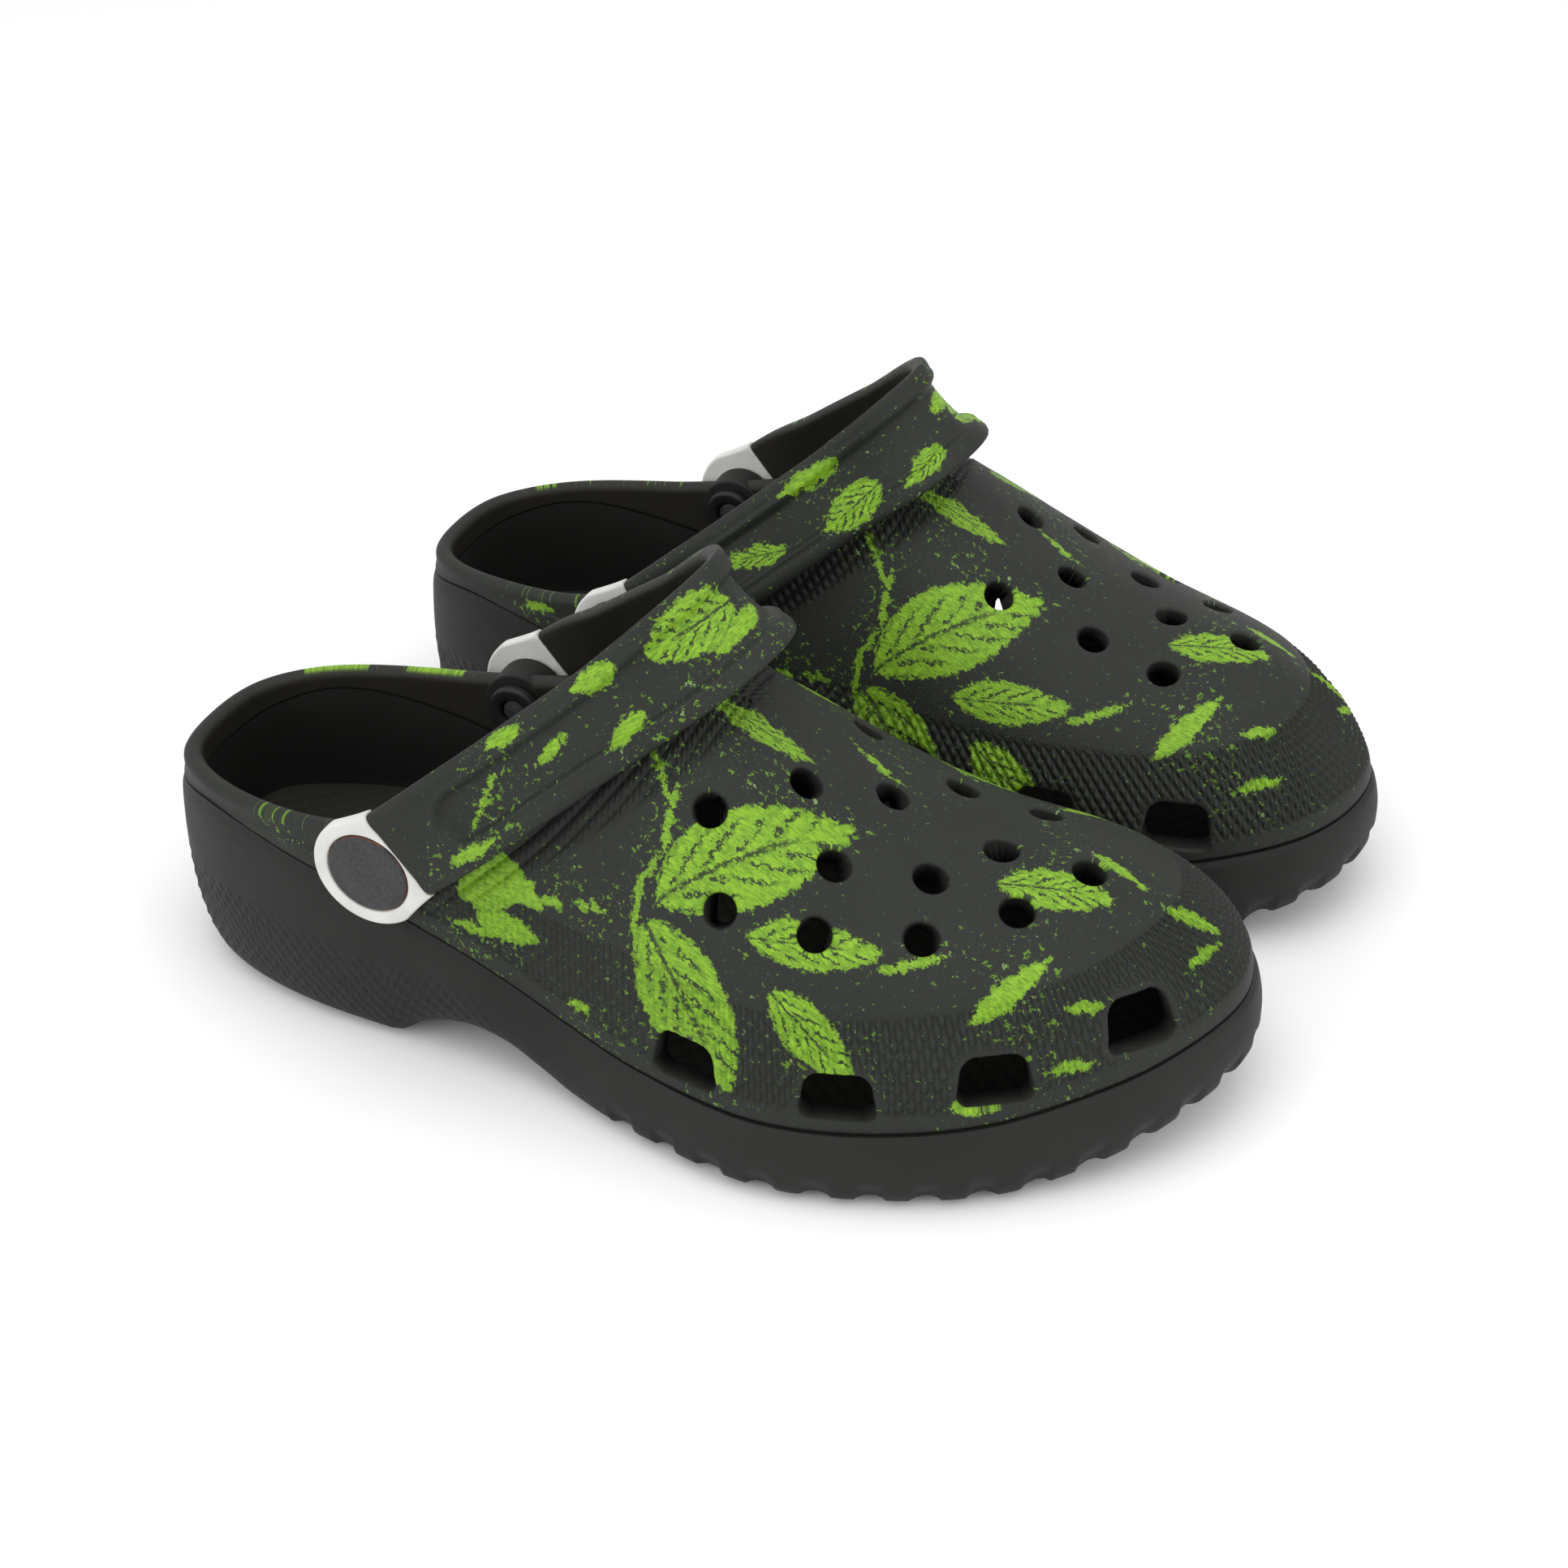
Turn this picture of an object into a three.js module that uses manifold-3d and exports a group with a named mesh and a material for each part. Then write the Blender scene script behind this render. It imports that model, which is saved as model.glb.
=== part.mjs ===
// A pair of rubber garden clogs: moulded upper on a cup sole, insole, and a heel strap on two snap rivets.
// Millimetres. +X is the toe, +Z is up, each clog is modelled as the right foot with its outer side at -Y.
import * as THREE from 'three';
import { mergeVertices } from 'three/addons/utils/BufferGeometryUtils.js';
import Module from 'manifold-3d';

const wasm = await Module();
wasm.setup();

// ---------------------------------------------------------------- sizes
const LENGTH = 281;               // sole line, heel to toe
const WIDTH = 113.5;              // sole line at its widest
const SEAM = 0.3;                 // gap kept between two parts that touch
const WALL = 5.0;                 // upper and cup wall
const INSOLE_THICK = 3.6;
const INSOLE_PLAY = 0.8;          // insole edge to cup wall
const INSOLE_REST = 0.7;          // insole to cup floor
const HOLE_R = 4.2;               // round vent holes in the forefoot
const VENT_LONG = 19;             // side vents, along the sole line
const VENT_TALL = 12;
const VENT_ROUND = 2.6;
const VENT_TAPER = 2.4;           // each end leans in by this much at the top
const LUG_PITCH = 13;             // tread notches round the forefoot
const NOTCH_R = 3.6;
const NOTCH_REACH = 11;           // length of each notch across the edge
const NOTCH_INSIDE = 7;           // how much of that lies inside the sole line
const NOTCH_SUNK = 0.4;           // its axis below the ground
const GROUND_INSET = 9;           // where the wall turns under into the tread
const FLOOR_ROUND = 2.5;          // chamfer round the cup floor and the insole
const PIVOT_Z = 57.5;             // strap rivets
const PAD_R = 10;                 // flat boss on the upper behind each strap end
const PAD_LINING = 10;            // how far the boss reaches in from the strap end
const TAB_R = 15;
const TAB_THICK = 4.0;
const BUTTON_R = 10.8;
const BUTTON_THICK = 1.7;
const BUTTON_PLAY = 0.35;         // button edge to its counterbore
const STEM_R = 3.6;
const STEM_PLAY = 0.3;
const STEM_SHORT = 0.8;           // stem end to the back of its socket
const SOCKET_R = 7.5;
const SOCKET_THICK = 3.0;
const STRAP_WIDTH = 25;
const STRAP_CROWN_WIDTH = 27;     // widest, over the instep
const STRAP_THICK = 4.0;
const STRAP_LIFT = 38;            // degrees above level while it rests on the instep
const STRAP_LEAN = 20;            // degrees its upper edge leans in, half way up
const CREST_LEAN = 7;             // and at the crest
const CHANNEL_WIDTH = 12;
const CHANNEL_DEPTH = 1.2;
const STRAP_ROUND = 1.3;          // chamfer along the strap edges
const CHANNEL_FROM = 24;          // the channel sinks in from here...
const CHANNEL_FULL = 31;          // ...to its full depth here, away from the rivet axis
const TAB_SEAM = 12;              // where the printed band is bonded to the plain end

// the places below are drawn on a clog of this size and stretched to LENGTH and WIDTH
const DRAWN_LENGTH = 281;
const DRAWN_WIDTH = 113.5;
const ALONG = LENGTH / DRAWN_LENGTH;
const ACROSS = WIDTH / DRAWN_WIDTH;
const placed = (points) => points.map(([x, y]) => [x * ALONG, y * ACROSS]);
const heights = (stations) => stations.map(([x, z]) => [x * ALONG, z]);

const PIVOT_X = 84 * ALONG;
const TREAD_FROM_X = 148 * ALONG;
const LEFT_SHIFT_X = 10 * ALONG;  // where the left clog stands beside the right one
const LEFT_SHIFT_Y = 117 * ACROSS;

// sole line seen from above, from the heel round the outer side to the toe and back
const OUTLINE = placed([
  [6.5, 1], [10.5, -18.5], [28, -32.5], [55, -40.5], [92, -43.5], [125, -46.5], [157, -55.5],
  [191, -61.5], [226, -53.5], [253, -38.5], [275, -18.5], [287.5, 8], [279, 34], [251, 49],
  [212, 52], [171, 50], [132, 40.5], [94, 37], [58, 37], [28, 30.5], [11, 18.5],
]);
const MIDLINE = placed([[0, 0], [100, -2], [180, -3], [230, -1], [260, 4], [288, 8]]);
// heights along the clog, as [x, z]
const SOLE_LINE = heights([[0, 49], [30, 55], [65, 48.5], [100, 37.5], [135, 25.5], [170, 21.5],
  [205, 21], [240, 23], [265, 28], [290, 34]]);
const GROUND = heights([[0, 11], [10, 3], [24, 0], [79, 0], [88, 5.5], [97, 9.5], [106, 11],
  [115, 9.5], [125, 5], [136, 1], [146, 0], [242, 0], [292, 14]]);
const CROWN = heights([[0, 122], [60, 126], [100, 121], [130, 115], [150, 108.5], [170, 94.5],
  [190, 81], [205, 73.5], [225, 67.5], [250, 65.5], [272, 61], [292, 50]]);
const COLLAR = heights([[-5, 55.5], [25, 58], [60, 60], [85, 64.5], [105, 71], [122, 81],
  [136, 94], [150, 108.5]]);
const FLOOR = heights([[0, 25], [30, 20], [90, 19], [125, 19.5], [160, 14.5], [200, 11.5],
  [245, 12], [290, 20]]);
// sole wall from the sole line down: [how far it stands out, share of the height]
const SOLE_WALL = [[-GROUND_INSET, 0], [-3, 0], [1.2, 0.1], [3.2, 0.3], [3.4, 0.6], [2.2, 0.9],
  [0.8, 1]];
const HEEL_WALL_BULGE = 0.85;     // the heel's wall stands out this much of the forefoot's
const BULGE_GROWS = [110 * ALONG, 190 * ALONG];
const THROAT_X = 150 * ALONG;
const RIDGE_HEEL_X = 35 * ALONG;  // crest of the upper, where its two flanks meet
const RIDGE_TOE_X = 236 * ALONG;
// how full the cross-section is, as [x, power]: 2 is an ellipse, more is boxier, less is peaked
const ROUNDNESS = heights([[0, 2.3], [70, 2.2], [112, 1.6], [150, 1.6], [185, 2.05], [215, 2.3],
  [290, 2.3]]);
const HOLES = placed([
  [168.5, -32], [184.5, -13], [201, 0.5], [212.5, 19], [187, 21.5], [176, -46], [197, -27.5],
  [217, -17.5], [229, -1], [250, 1], [198, -42.5], [220, -32], [238, -17], [233, 22],
]);
// side vents: [x, side, centre above the sole line]
const VENTS = [
  [170, -1, 9.5], [208.5, -1, 10], [242.5, -1, 11.5], [271.5, -1, 12.5],
  [169, 1, 15], [209, 1, 11.5], [245, 1, 11],
].map(([x, side, lift]) => [x * ALONG, side, lift]);
const STRAP_OUTER_Y = -47.6 * ACROSS;
const STRAP_INNER_Y = 42.2 * ACROSS;
const STRAP_REACH = 101.5 * ALONG;
const STRAP_FLARE_FROM = 70 * ALONG;
const LEAN_FROM = 12 * ALONG;
const LEAN_FULL = 45 * ALONG;

// detail levels
const HEEL_STATIONS = 12;
const TOE_STATIONS = 13;
const FLANK_ROWS = 7;
const STRAP_STEPS = 34;

// ---------------------------------------------------------------- helpers
// a height curve through [x, z] stations that never swings past them
function smoothHeight(stations, x) {
  const last = stations.length - 1;
  const pitch = (i) => (stations[i + 1][1] - stations[i][1]) / (stations[i + 1][0] - stations[i][0]);
  const slope = (i) => {
    const before = pitch(Math.max(i - 1, 0));
    const after = pitch(Math.min(i, last - 1));
    return before * after <= 0 ? 0 : (2 * before * after) / (before + after);
  };
  const clamped = THREE.MathUtils.clamp(x, stations[0][0], stations[last][0]);
  let i = 0;
  while (i < last - 1 && stations[i + 1][0] < clamped) i += 1;
  const [x0, z0] = stations[i];
  const [x1, z1] = stations[i + 1];
  const step = x1 - x0;
  const s = (clamped - x0) / step;
  const rise0 = slope(i) * step;
  const rise1 = slope(i + 1) * step;
  return z0 * (1 + 2 * s) * (1 - s) ** 2 + rise0 * s * (1 - s) ** 2
    + z1 * s * s * (3 - 2 * s) + rise1 * s * s * (s - 1);
}

function outlineRing() {
  const points = OUTLINE.map(([x, y]) => new THREE.Vector3(x, y, 0));
  const dense = new THREE.CatmullRomCurve3(points, true, 'catmullrom', 0.5).getPoints(1680).slice(0, -1);
  const heel = dense.reduce((best, p, i) => (p.x < dense[best].x ? i : best), 0);
  const turned = [...dense.slice(heel), ...dense.slice(0, heel)];
  const toe = turned.reduce((best, p, i) => (p.x > turned[best].x ? i : best), 0);
  const outer = turned.slice(0, toe + 1);
  const inner = [turned[0], ...turned.slice(toe).reverse()];
  const sideAt = (side, x) => {
    let i = 1;
    while (i < side.length - 1 && side[i].x < x) i += 1;
    const t = (x - side[i - 1].x) / (side[i].x - side[i - 1].x);
    return THREE.MathUtils.lerp(side[i - 1].y, side[i].y, THREE.MathUtils.clamp(t, 0, 1));
  };
  const heelX = turned[0].x;
  const toeX = turned[toe].x;
  const ridgeShare = (THROAT_X - RIDGE_HEEL_X) / (RIDGE_TOE_X - RIDGE_HEEL_X);
  const throatX = heelX + (toeX - heelX) * ridgeShare;
  const xs = [];
  for (let i = 0; i <= HEEL_STATIONS; i += 1) {
    xs.push(heelX + (throatX - heelX) * (1 - Math.cos((Math.PI / 2) * (i / HEEL_STATIONS))));
  }
  for (let i = 1; i <= TOE_STATIONS; i += 1) {
    xs.push(throatX + (toeX - throatX) * Math.sin((Math.PI / 2) * (i / TOE_STATIONS)));
  }
  const ring = xs.map((x) => new THREE.Vector3(x, sideAt(outer, x), 0));
  ring[xs.length - 1].y = turned[toe].y;
  for (let i = xs.length - 2; i > 0; i -= 1) ring.push(new THREE.Vector3(xs[i], sideAt(inner, xs[i]), 0));
  ring[0].y = turned[0].y;
  return { ring, heelX, toeX };
}

const { ring: RING, heelX: HEEL_X, toeX: TOE_X } = outlineRing();
const COUNT = RING.length;
const THROAT_STATION = HEEL_STATIONS;
const OUTWARD = RING.map((point, i) => {
  const ahead = RING[(i + 1) % COUNT];
  const behind = RING[(i + COUNT - 1) % COUNT];
  const along = ahead.clone().sub(behind).normalize();
  return new THREE.Vector3(along.y, -along.x, 0);
});
const RIDGE = RING.map((point) => {
  const x = RIDGE_HEEL_X + (RIDGE_TOE_X - RIDGE_HEEL_X) * ((point.x - HEEL_X) / (TOE_X - HEEL_X));
  return new THREE.Vector3(x, smoothHeight(MIDLINE, x), 0);
});

// a ring pulled towards the ridge: share 1 is the outline moved out by grow, share 0 the ridge itself
function pulledRing(share, grow, height) {
  return RING.map((point, i) => {
    const edge = point.clone().addScaledVector(OUTWARD[i], grow);
    const at = RIDGE[i].clone().lerp(edge, share);
    at.z = height(at, i);
    return at;
  });
}

// joins neighbouring rings of points with two triangles a station, only at the stations that keep allows
function ringSolid(strips) {
  const positions = [];
  const put = (...points) => points.forEach((p) => positions.push(p.x, p.y, p.z));
  for (const { from, to, keep } of strips) {
    for (let i = 0; i < COUNT; i += 1) {
      const j = (i + 1) % COUNT;
      if (keep && !keep(i)) continue;
      put(from[i], from[j], to[j]);
      put(from[i], to[j], to[i]);
    }
  }
  return closedGeometry(positions);
}

function closedGeometry(positions) {
  const geometry = new THREE.BufferGeometry();
  geometry.setAttribute('position', new THREE.Float32BufferAttribute(positions, 3));
  return withoutSlivers(mergeVertices(geometry, 1e-3));
}

// drops triangles whose corners were merged into one
function withoutSlivers(geometry) {
  const index = geometry.index.array;
  const kept = [];
  for (let i = 0; i < index.length; i += 3) {
    const [a, b, c] = [index[i], index[i + 1], index[i + 2]];
    if (a !== b && b !== c && c !== a) kept.push(a, b, c);
  }
  geometry.setIndex(kept);
  return geometry;
}

function ringStrips(rings) {
  return rings.slice(1).map((to, i) => ({ from: rings[i], to }));
}

function toSolid(geometry) {
  const plain = new THREE.BufferGeometry();
  plain.setAttribute('position', geometry.getAttribute('position').clone());
  if (geometry.index) plain.setIndex(geometry.index.clone());
  const merged = withoutSlivers(mergeVertices(plain, 1e-4));
  return new wasm.Manifold(new wasm.Mesh({
    numProp: 3,
    vertProperties: new Float32Array(merged.getAttribute('position').array),
    triVerts: new Uint32Array(merged.index.array),
  }));
}

function toGeometry(solid) {
  const mesh = solid.getMesh();
  const geometry = new THREE.BufferGeometry();
  geometry.setAttribute('position', new THREE.BufferAttribute(mesh.vertProperties, 3));
  geometry.setIndex(new THREE.BufferAttribute(mesh.triVerts, 1));
  return geometry;
}

function cut(solid, cutters) {
  return cutters.reduce((left, cutter) => left.subtract(toSolid(cutter)), solid);
}

// a cylinder lying along Y from y0 to y1, centred on (x, z)
function acrossCylinder(radius, y0, y1, x, z, segments) {
  const geometry = new THREE.CylinderGeometry(radius, radius, y1 - y0, segments);
  geometry.translate(x, (y0 + y1) / 2, z);
  return geometry;
}

// ---------------------------------------------------------------- upper surface
function flankPoint(i, angle, inset) {
  const power = 2 / smoothHeight(ROUNDNESS, RING[i].x);
  const share = Math.cos(angle) ** power;
  const lift = Math.sin(angle) ** power;
  const edge = RING[i].clone().addScaledVector(OUTWARD[i], -inset);
  const at = RIDGE[i].clone().lerp(edge, share);
  const base = smoothHeight(SOLE_LINE, RING[i].x) + SEAM / 2;
  at.z = base + lift * (smoothHeight(CROWN, at.x) - inset - base);
  return at;
}

function collarAngle(i) {
  const station = Math.min(i, COUNT - i);
  if (station >= THROAT_STATION) return Math.PI / 2;
  let low = 0;
  let high = Math.PI / 2;
  for (let n = 0; n < 40; n += 1) {
    const middle = (low + high) / 2;
    const at = flankPoint(i, middle, 0);
    if (at.z < smoothHeight(COLLAR, at.x)) low = middle;
    else high = middle;
  }
  return low;
}

function upperGeometry() {
  const angles = RING.map((_, i) => collarAngle(i));
  const flank = (row, inset) => RING.map((_, i) => flankPoint(i, (angles[i] * row) / FLANK_ROWS, inset));
  const outside = [];
  const inside = [];
  for (let row = 0; row <= FLANK_ROWS; row += 1) {
    outside.push(flank(row, 0));
    inside.push(flank(FLANK_ROWS - row, WALL));
  }
  const brim = outside[FLANK_ROWS];
  const lining = inside[0];
  const open = (i) => i < THROAT_STATION || i >= COUNT - THROAT_STATION;
  const loopStep = (i, step) => {
    const first = COUNT - THROAT_STATION;
    const size = 2 * THROAT_STATION;
    const place = i <= THROAT_STATION ? i + THROAT_STATION : i - first;
    return (first + ((place + step + size) % size)) % COUNT;
  };
  const roll = [45, 90, 135].map((degrees) => RING.map((_, i) => {
    if (!open(i) && i !== THROAT_STATION) return brim[i];
    const along = brim[loopStep(i, 1)].clone().sub(brim[loopStep(i, -1)]);
    const across = lining[i].clone().sub(brim[i]);
    const up = along.cross(across).normalize();
    const angle = THREE.MathUtils.degToRad(degrees);
    const at = brim[i].clone().addScaledVector(across, (1 - Math.cos(angle)) / 2);
    return at.addScaledVector(up, Math.sin(angle) * WALL * 0.45);
  }));
  const strips = [
    ...ringStrips(outside),
    ...ringStrips([brim, ...roll, lining]).map((strip) => ({ ...strip, keep: open })),
    ...ringStrips(inside),
    { from: inside[FLANK_ROWS], to: outside[0] },
  ];
  return ringSolid(strips);
}

// where a plan position meets the outside of the upper, and the direction straight out of it there
function onUpper(x, y) {
  const height = (px, py) => {
    let best = null;
    for (let i = 0; i < COUNT; i += 1) {
      const j = (i + 1) % COUNT;
      for (let row = 0; row < 60; row += 1) {
        const angle = (Math.PI / 2) * (row / 60);
        const next = (Math.PI / 2) * ((row + 1) / 60);
        const hit = heightInQuad(px, py, [[i, angle], [j, angle], [j, next], [i, next]]);
        if (hit !== null) best = hit;
      }
    }
    return best;
  };
  const z = height(x, y);
  const dx = (height(x + 1.5, y) - height(x - 1.5, y)) / 3;
  const dy = (height(x, y + 1.5) - height(x, y - 1.5)) / 3;
  return { at: new THREE.Vector3(x, y, z), out: new THREE.Vector3(-dx, -dy, 1).normalize() };
}

function heightInQuad(x, y, corners) {
  const [a, b, c, d] = corners.map(([i, angle]) => flankPoint(i, angle, 0));
  for (const [p, q, r] of [[a, b, c], [a, c, d]]) {
    const area = (q.x - p.x) * (r.y - p.y) - (r.x - p.x) * (q.y - p.y);
    if (Math.abs(area) < 1e-9) continue;
    const u = ((x - p.x) * (r.y - p.y) - (r.x - p.x) * (y - p.y)) / area;
    const v = ((q.x - p.x) * (y - p.y) - (x - p.x) * (q.y - p.y)) / area;
    if (u >= -1e-9 && v >= -1e-9 && u + v <= 1 + 1e-9) return p.z + u * (q.z - p.z) + v * (r.z - p.z);
  }
  return null;
}

function holeCutter([x, y]) {
  const { at, out } = onUpper(x, y);
  const cylinder = new THREE.CylinderGeometry(HOLE_R, HOLE_R, WALL * 4, 10);
  cylinder.applyQuaternion(new THREE.Quaternion().setFromUnitVectors(new THREE.Vector3(0, 1, 0), out));
  cylinder.translate(at.x, at.y, at.z);
  return cylinder;
}

function ventShape() {
  const half = VENT_LONG / 2;
  const top = half - VENT_TAPER;
  const tall = VENT_TALL / 2;
  const corners = [[-half, -tall], [half, -tall], [top, tall], [-top, tall]]
    .map(([u, v]) => new THREE.Vector2(u, v));
  const shape = new THREE.Shape();
  corners.forEach((corner, i) => {
    const before = corners[(i + 3) % 4].clone().sub(corner).normalize();
    const after = corners[(i + 1) % 4].clone().sub(corner).normalize();
    const enter = corner.clone().addScaledVector(before, VENT_ROUND);
    const leave = corner.clone().addScaledVector(after, VENT_ROUND);
    if (i === 0) shape.moveTo(enter.x, enter.y);
    else shape.lineTo(enter.x, enter.y);
    shape.quadraticCurveTo(corner.x, corner.y, leave.x, leave.y);
  });
  shape.closePath();
  return shape;
}

function edgeAt(x, side) {
  const half = COUNT / 2;
  const order = [...Array(half + 1).keys()].map((k) => (side < 0 ? k : (COUNT - k) % COUNT));
  const k = Math.max(order.findIndex((i) => RING[i].x >= x), 1);
  const a = order[k - 1];
  const b = order[k];
  const t = (x - RING[a].x) / (RING[b].x - RING[a].x);
  return { at: RING[a].clone().lerp(RING[b], t), out: OUTWARD[a].clone().lerp(OUTWARD[b], t).normalize() };
}

function ventCutter([x, side, lift]) {
  const { at, out } = edgeAt(x, side);
  const depth = WALL * 5;
  const prism = new THREE.ExtrudeGeometry(ventShape(), { depth, bevelEnabled: false, curveSegments: 1 });
  prism.translate(0, 0, -depth * 0.6);
  const along = new THREE.Vector3(-out.y, out.x, 0);
  const up = new THREE.Vector3(0, 0, 1);
  prism.applyMatrix4(new THREE.Matrix4().makeBasis(along, up, out));
  prism.translate(at.x, at.y, smoothHeight(SOLE_LINE, x) + lift);
  return prism;
}

// ---------------------------------------------------------------- strap rivets
const RIVETS = [
  { name: 'outer', side: -1, face: -STRAP_OUTER_Y - TAB_THICK / 2 },
  { name: 'inner', side: 1, face: STRAP_INNER_Y - TAB_THICK / 2 },
];

function sideCylinder(rivet, radius, near, far, segments) {
  const y0 = rivet.side * near;
  const y1 = rivet.side * far;
  return acrossCylinder(radius, Math.min(y0, y1), Math.max(y0, y1), PIVOT_X, PIVOT_Z, segments);
}

function upper() {
  let solid = toSolid(upperGeometry());
  for (const rivet of RIVETS) {
    const pad = sideCylinder(rivet, PAD_R, rivet.face - PAD_LINING, rivet.face - SEAM, 18);
    solid = solid.add(toSolid(pad));
    solid = cut(solid, [sideCylinder(rivet, STEM_R + STEM_PLAY, 0, rivet.face + 5, 14)]);
  }
  solid = cut(solid, HOLES.map(holeCutter));
  return toGeometry(cut(solid, VENTS.map(ventCutter)));
}

function rivetButton(rivet) {
  const top = rivet.face + TAB_THICK;
  const head = sideCylinder(rivet, BUTTON_R, top - BUTTON_THICK, top, 28);
  const reach = rivet.face - PAD_LINING - SOCKET_THICK + STEM_SHORT;
  const stem = sideCylinder(rivet, STEM_R, reach, top - BUTTON_THICK / 2, 14);
  return toGeometry(toSolid(head).add(toSolid(stem)));
}

function rivetSocket(rivet) {
  const back = rivet.face - PAD_LINING - SEAM;
  const ring = sideCylinder(rivet, SOCKET_R, back - SOCKET_THICK, back, 20);
  const bore = sideCylinder(rivet, STEM_R + STEM_PLAY, back - SOCKET_THICK - 1, back + 1, 14);
  return toGeometry(cut(toSolid(ring), [bore]));
}

// ---------------------------------------------------------------- sole and insole
function sole() {
  const line = (at, i) => smoothHeight(SOLE_LINE, RING[i].x) - SEAM / 2;
  const ground = (at) => smoothHeight(GROUND, at.x);
  const floor = (at) => smoothHeight(FLOOR, at.x);
  const bulge = (i) => THREE.MathUtils.lerp(
    HEEL_WALL_BULGE, 1, THREE.MathUtils.smoothstep(RING[i].x, ...BULGE_GROWS));
  const rings = [0, 0.5].map((share) => pulledRing(share, -GROUND_INSET, ground));
  for (const [out, share] of SOLE_WALL) {
    rings.push(RING.map((point, i) => {
      const grow = out < 0 ? out : out * bulge(i);
      const at = point.clone().addScaledVector(OUTWARD[i], grow);
      const low = ground(at);
      at.z = low + share * (line(at, i) - low);
      return at;
    }));
  }
  rings.push(pulledRing(1, 0, line));
  rings.push(pulledRing(1, -WALL, line));
  rings.push(pulledRing(1, -WALL, (at) => floor(at) + FLOOR_ROUND));
  for (const share of [1, 0.5, 0]) rings.push(pulledRing(share, -WALL - FLOOR_ROUND, floor));
  return toGeometry(cut(toSolid(ringSolid(ringStrips(rings))), treadNotches()));
}

function treadNotches() {
  const notches = [];
  let walked = 0;
  for (let i = 0; i < COUNT; i += 1) {
    const here = RING[i];
    const next = RING[(i + 1) % COUNT];
    const length = here.distanceTo(next);
    while (walked < length) {
      const at = here.clone().lerp(next, walked / length);
      const out = OUTWARD[i].clone().lerp(OUTWARD[(i + 1) % COUNT], walked / length).normalize();
      if (at.x > TREAD_FROM_X) notches.push(notchCutter(at, out));
      walked += LUG_PITCH;
    }
    walked -= length;
  }
  return notches;
}

function notchCutter(at, out) {
  const cylinder = new THREE.CylinderGeometry(NOTCH_R, NOTCH_R, NOTCH_REACH, 6);
  cylinder.rotateY(Math.PI / 6);
  cylinder.applyQuaternion(new THREE.Quaternion().setFromUnitVectors(new THREE.Vector3(0, 1, 0), out));
  const low = smoothHeight(GROUND, at.x);
  const centre = at.clone().addScaledVector(out, NOTCH_REACH / 2 - NOTCH_INSIDE);
  cylinder.translate(centre.x, centre.y, low - NOTCH_SUNK);
  return cylinder;
}

function insole() {
  const inset = -WALL - INSOLE_PLAY;
  const lift = (extra) => (at) => smoothHeight(FLOOR, at.x) + INSOLE_REST + extra;
  const rings = [
    ...[0, 0.5, 1].map((share) => pulledRing(share, inset - FLOOR_ROUND, lift(0))),
    pulledRing(1, inset, lift(FLOOR_ROUND)),
    ...[1, 0.5, 0].map((share) => pulledRing(share, inset, lift(INSOLE_THICK))),
  ];
  return ringSolid(ringStrips(rings));
}

// ---------------------------------------------------------------- strap
// the strap's centre line, as [distance from the rivet axis, sideways], before STRAP_LIFT tips it up
function strapPath() {
  const points = [
    [0, STRAP_OUTER_Y], [16 * ALONG, STRAP_OUTER_Y],
    ...placed([[34, -43.5], [56, -36], [77, -27], [92, -16.5], [99.5, -6]]),
    [STRAP_REACH, 2 * ACROSS],
    ...placed([[98.5, 9.5], [90, 18.5], [74, 25.5], [54, 32.5], [33, 39]]),
    [16 * ALONG, STRAP_INNER_Y], [0, STRAP_INNER_Y],
  ].map(([u, y]) => new THREE.Vector3(u, y, 0));
  return new THREE.CatmullRomCurve3(points, false, 'catmullrom', 0.5);
}

function strapSection(width, channel) {
  const half = width / 2;
  const groove = CHANNEL_WIDTH / 2;
  const out = STRAP_THICK / 2;
  const slope = CHANNEL_DEPTH;
  const round = STRAP_ROUND;
  return [
    [-half + round, -out], [half - round, -out], [half, -out + round], [half, out - round],
    [half - round, out], [groove + slope, out], [groove, out - channel], [-groove, out - channel],
    [-groove - slope, out], [-half + round, out], [-half, out - round], [-half, -out + round],
  ];
}

function strapBandGeometry() {
  const path = strapPath();
  const sections = [];
  for (let i = 0; i <= STRAP_STEPS; i += 1) {
    const t = i / STRAP_STEPS;
    const at = path.getPointAt(t);
    const along = path.getTangentAt(t);
    const outward = new THREE.Vector3(along.y, -along.x, 0).normalize();
    const crown = THREE.MathUtils.smoothstep(at.x, STRAP_FLARE_FROM, STRAP_REACH);
    const width = THREE.MathUtils.lerp(STRAP_WIDTH, STRAP_CROWN_WIDTH, crown);
    const channel = CHANNEL_DEPTH * THREE.MathUtils.smoothstep(at.x, CHANNEL_FROM, CHANNEL_FULL);
    const straighten = (STRAP_LEAN - CREST_LEAN) * crown;
    const degrees = STRAP_LEAN * THREE.MathUtils.smoothstep(at.x, LEAN_FROM, LEAN_FULL) - straighten;
    const lean = THREE.MathUtils.degToRad(degrees);
    sections.push(strapSection(width, channel).map(([w, n]) => at.clone()
      .addScaledVector(outward, n * Math.cos(lean) - w * Math.sin(lean))
      .setZ(w * Math.cos(lean) + n * Math.sin(lean))));
  }
  return sectionSolid(sections);
}

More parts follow.
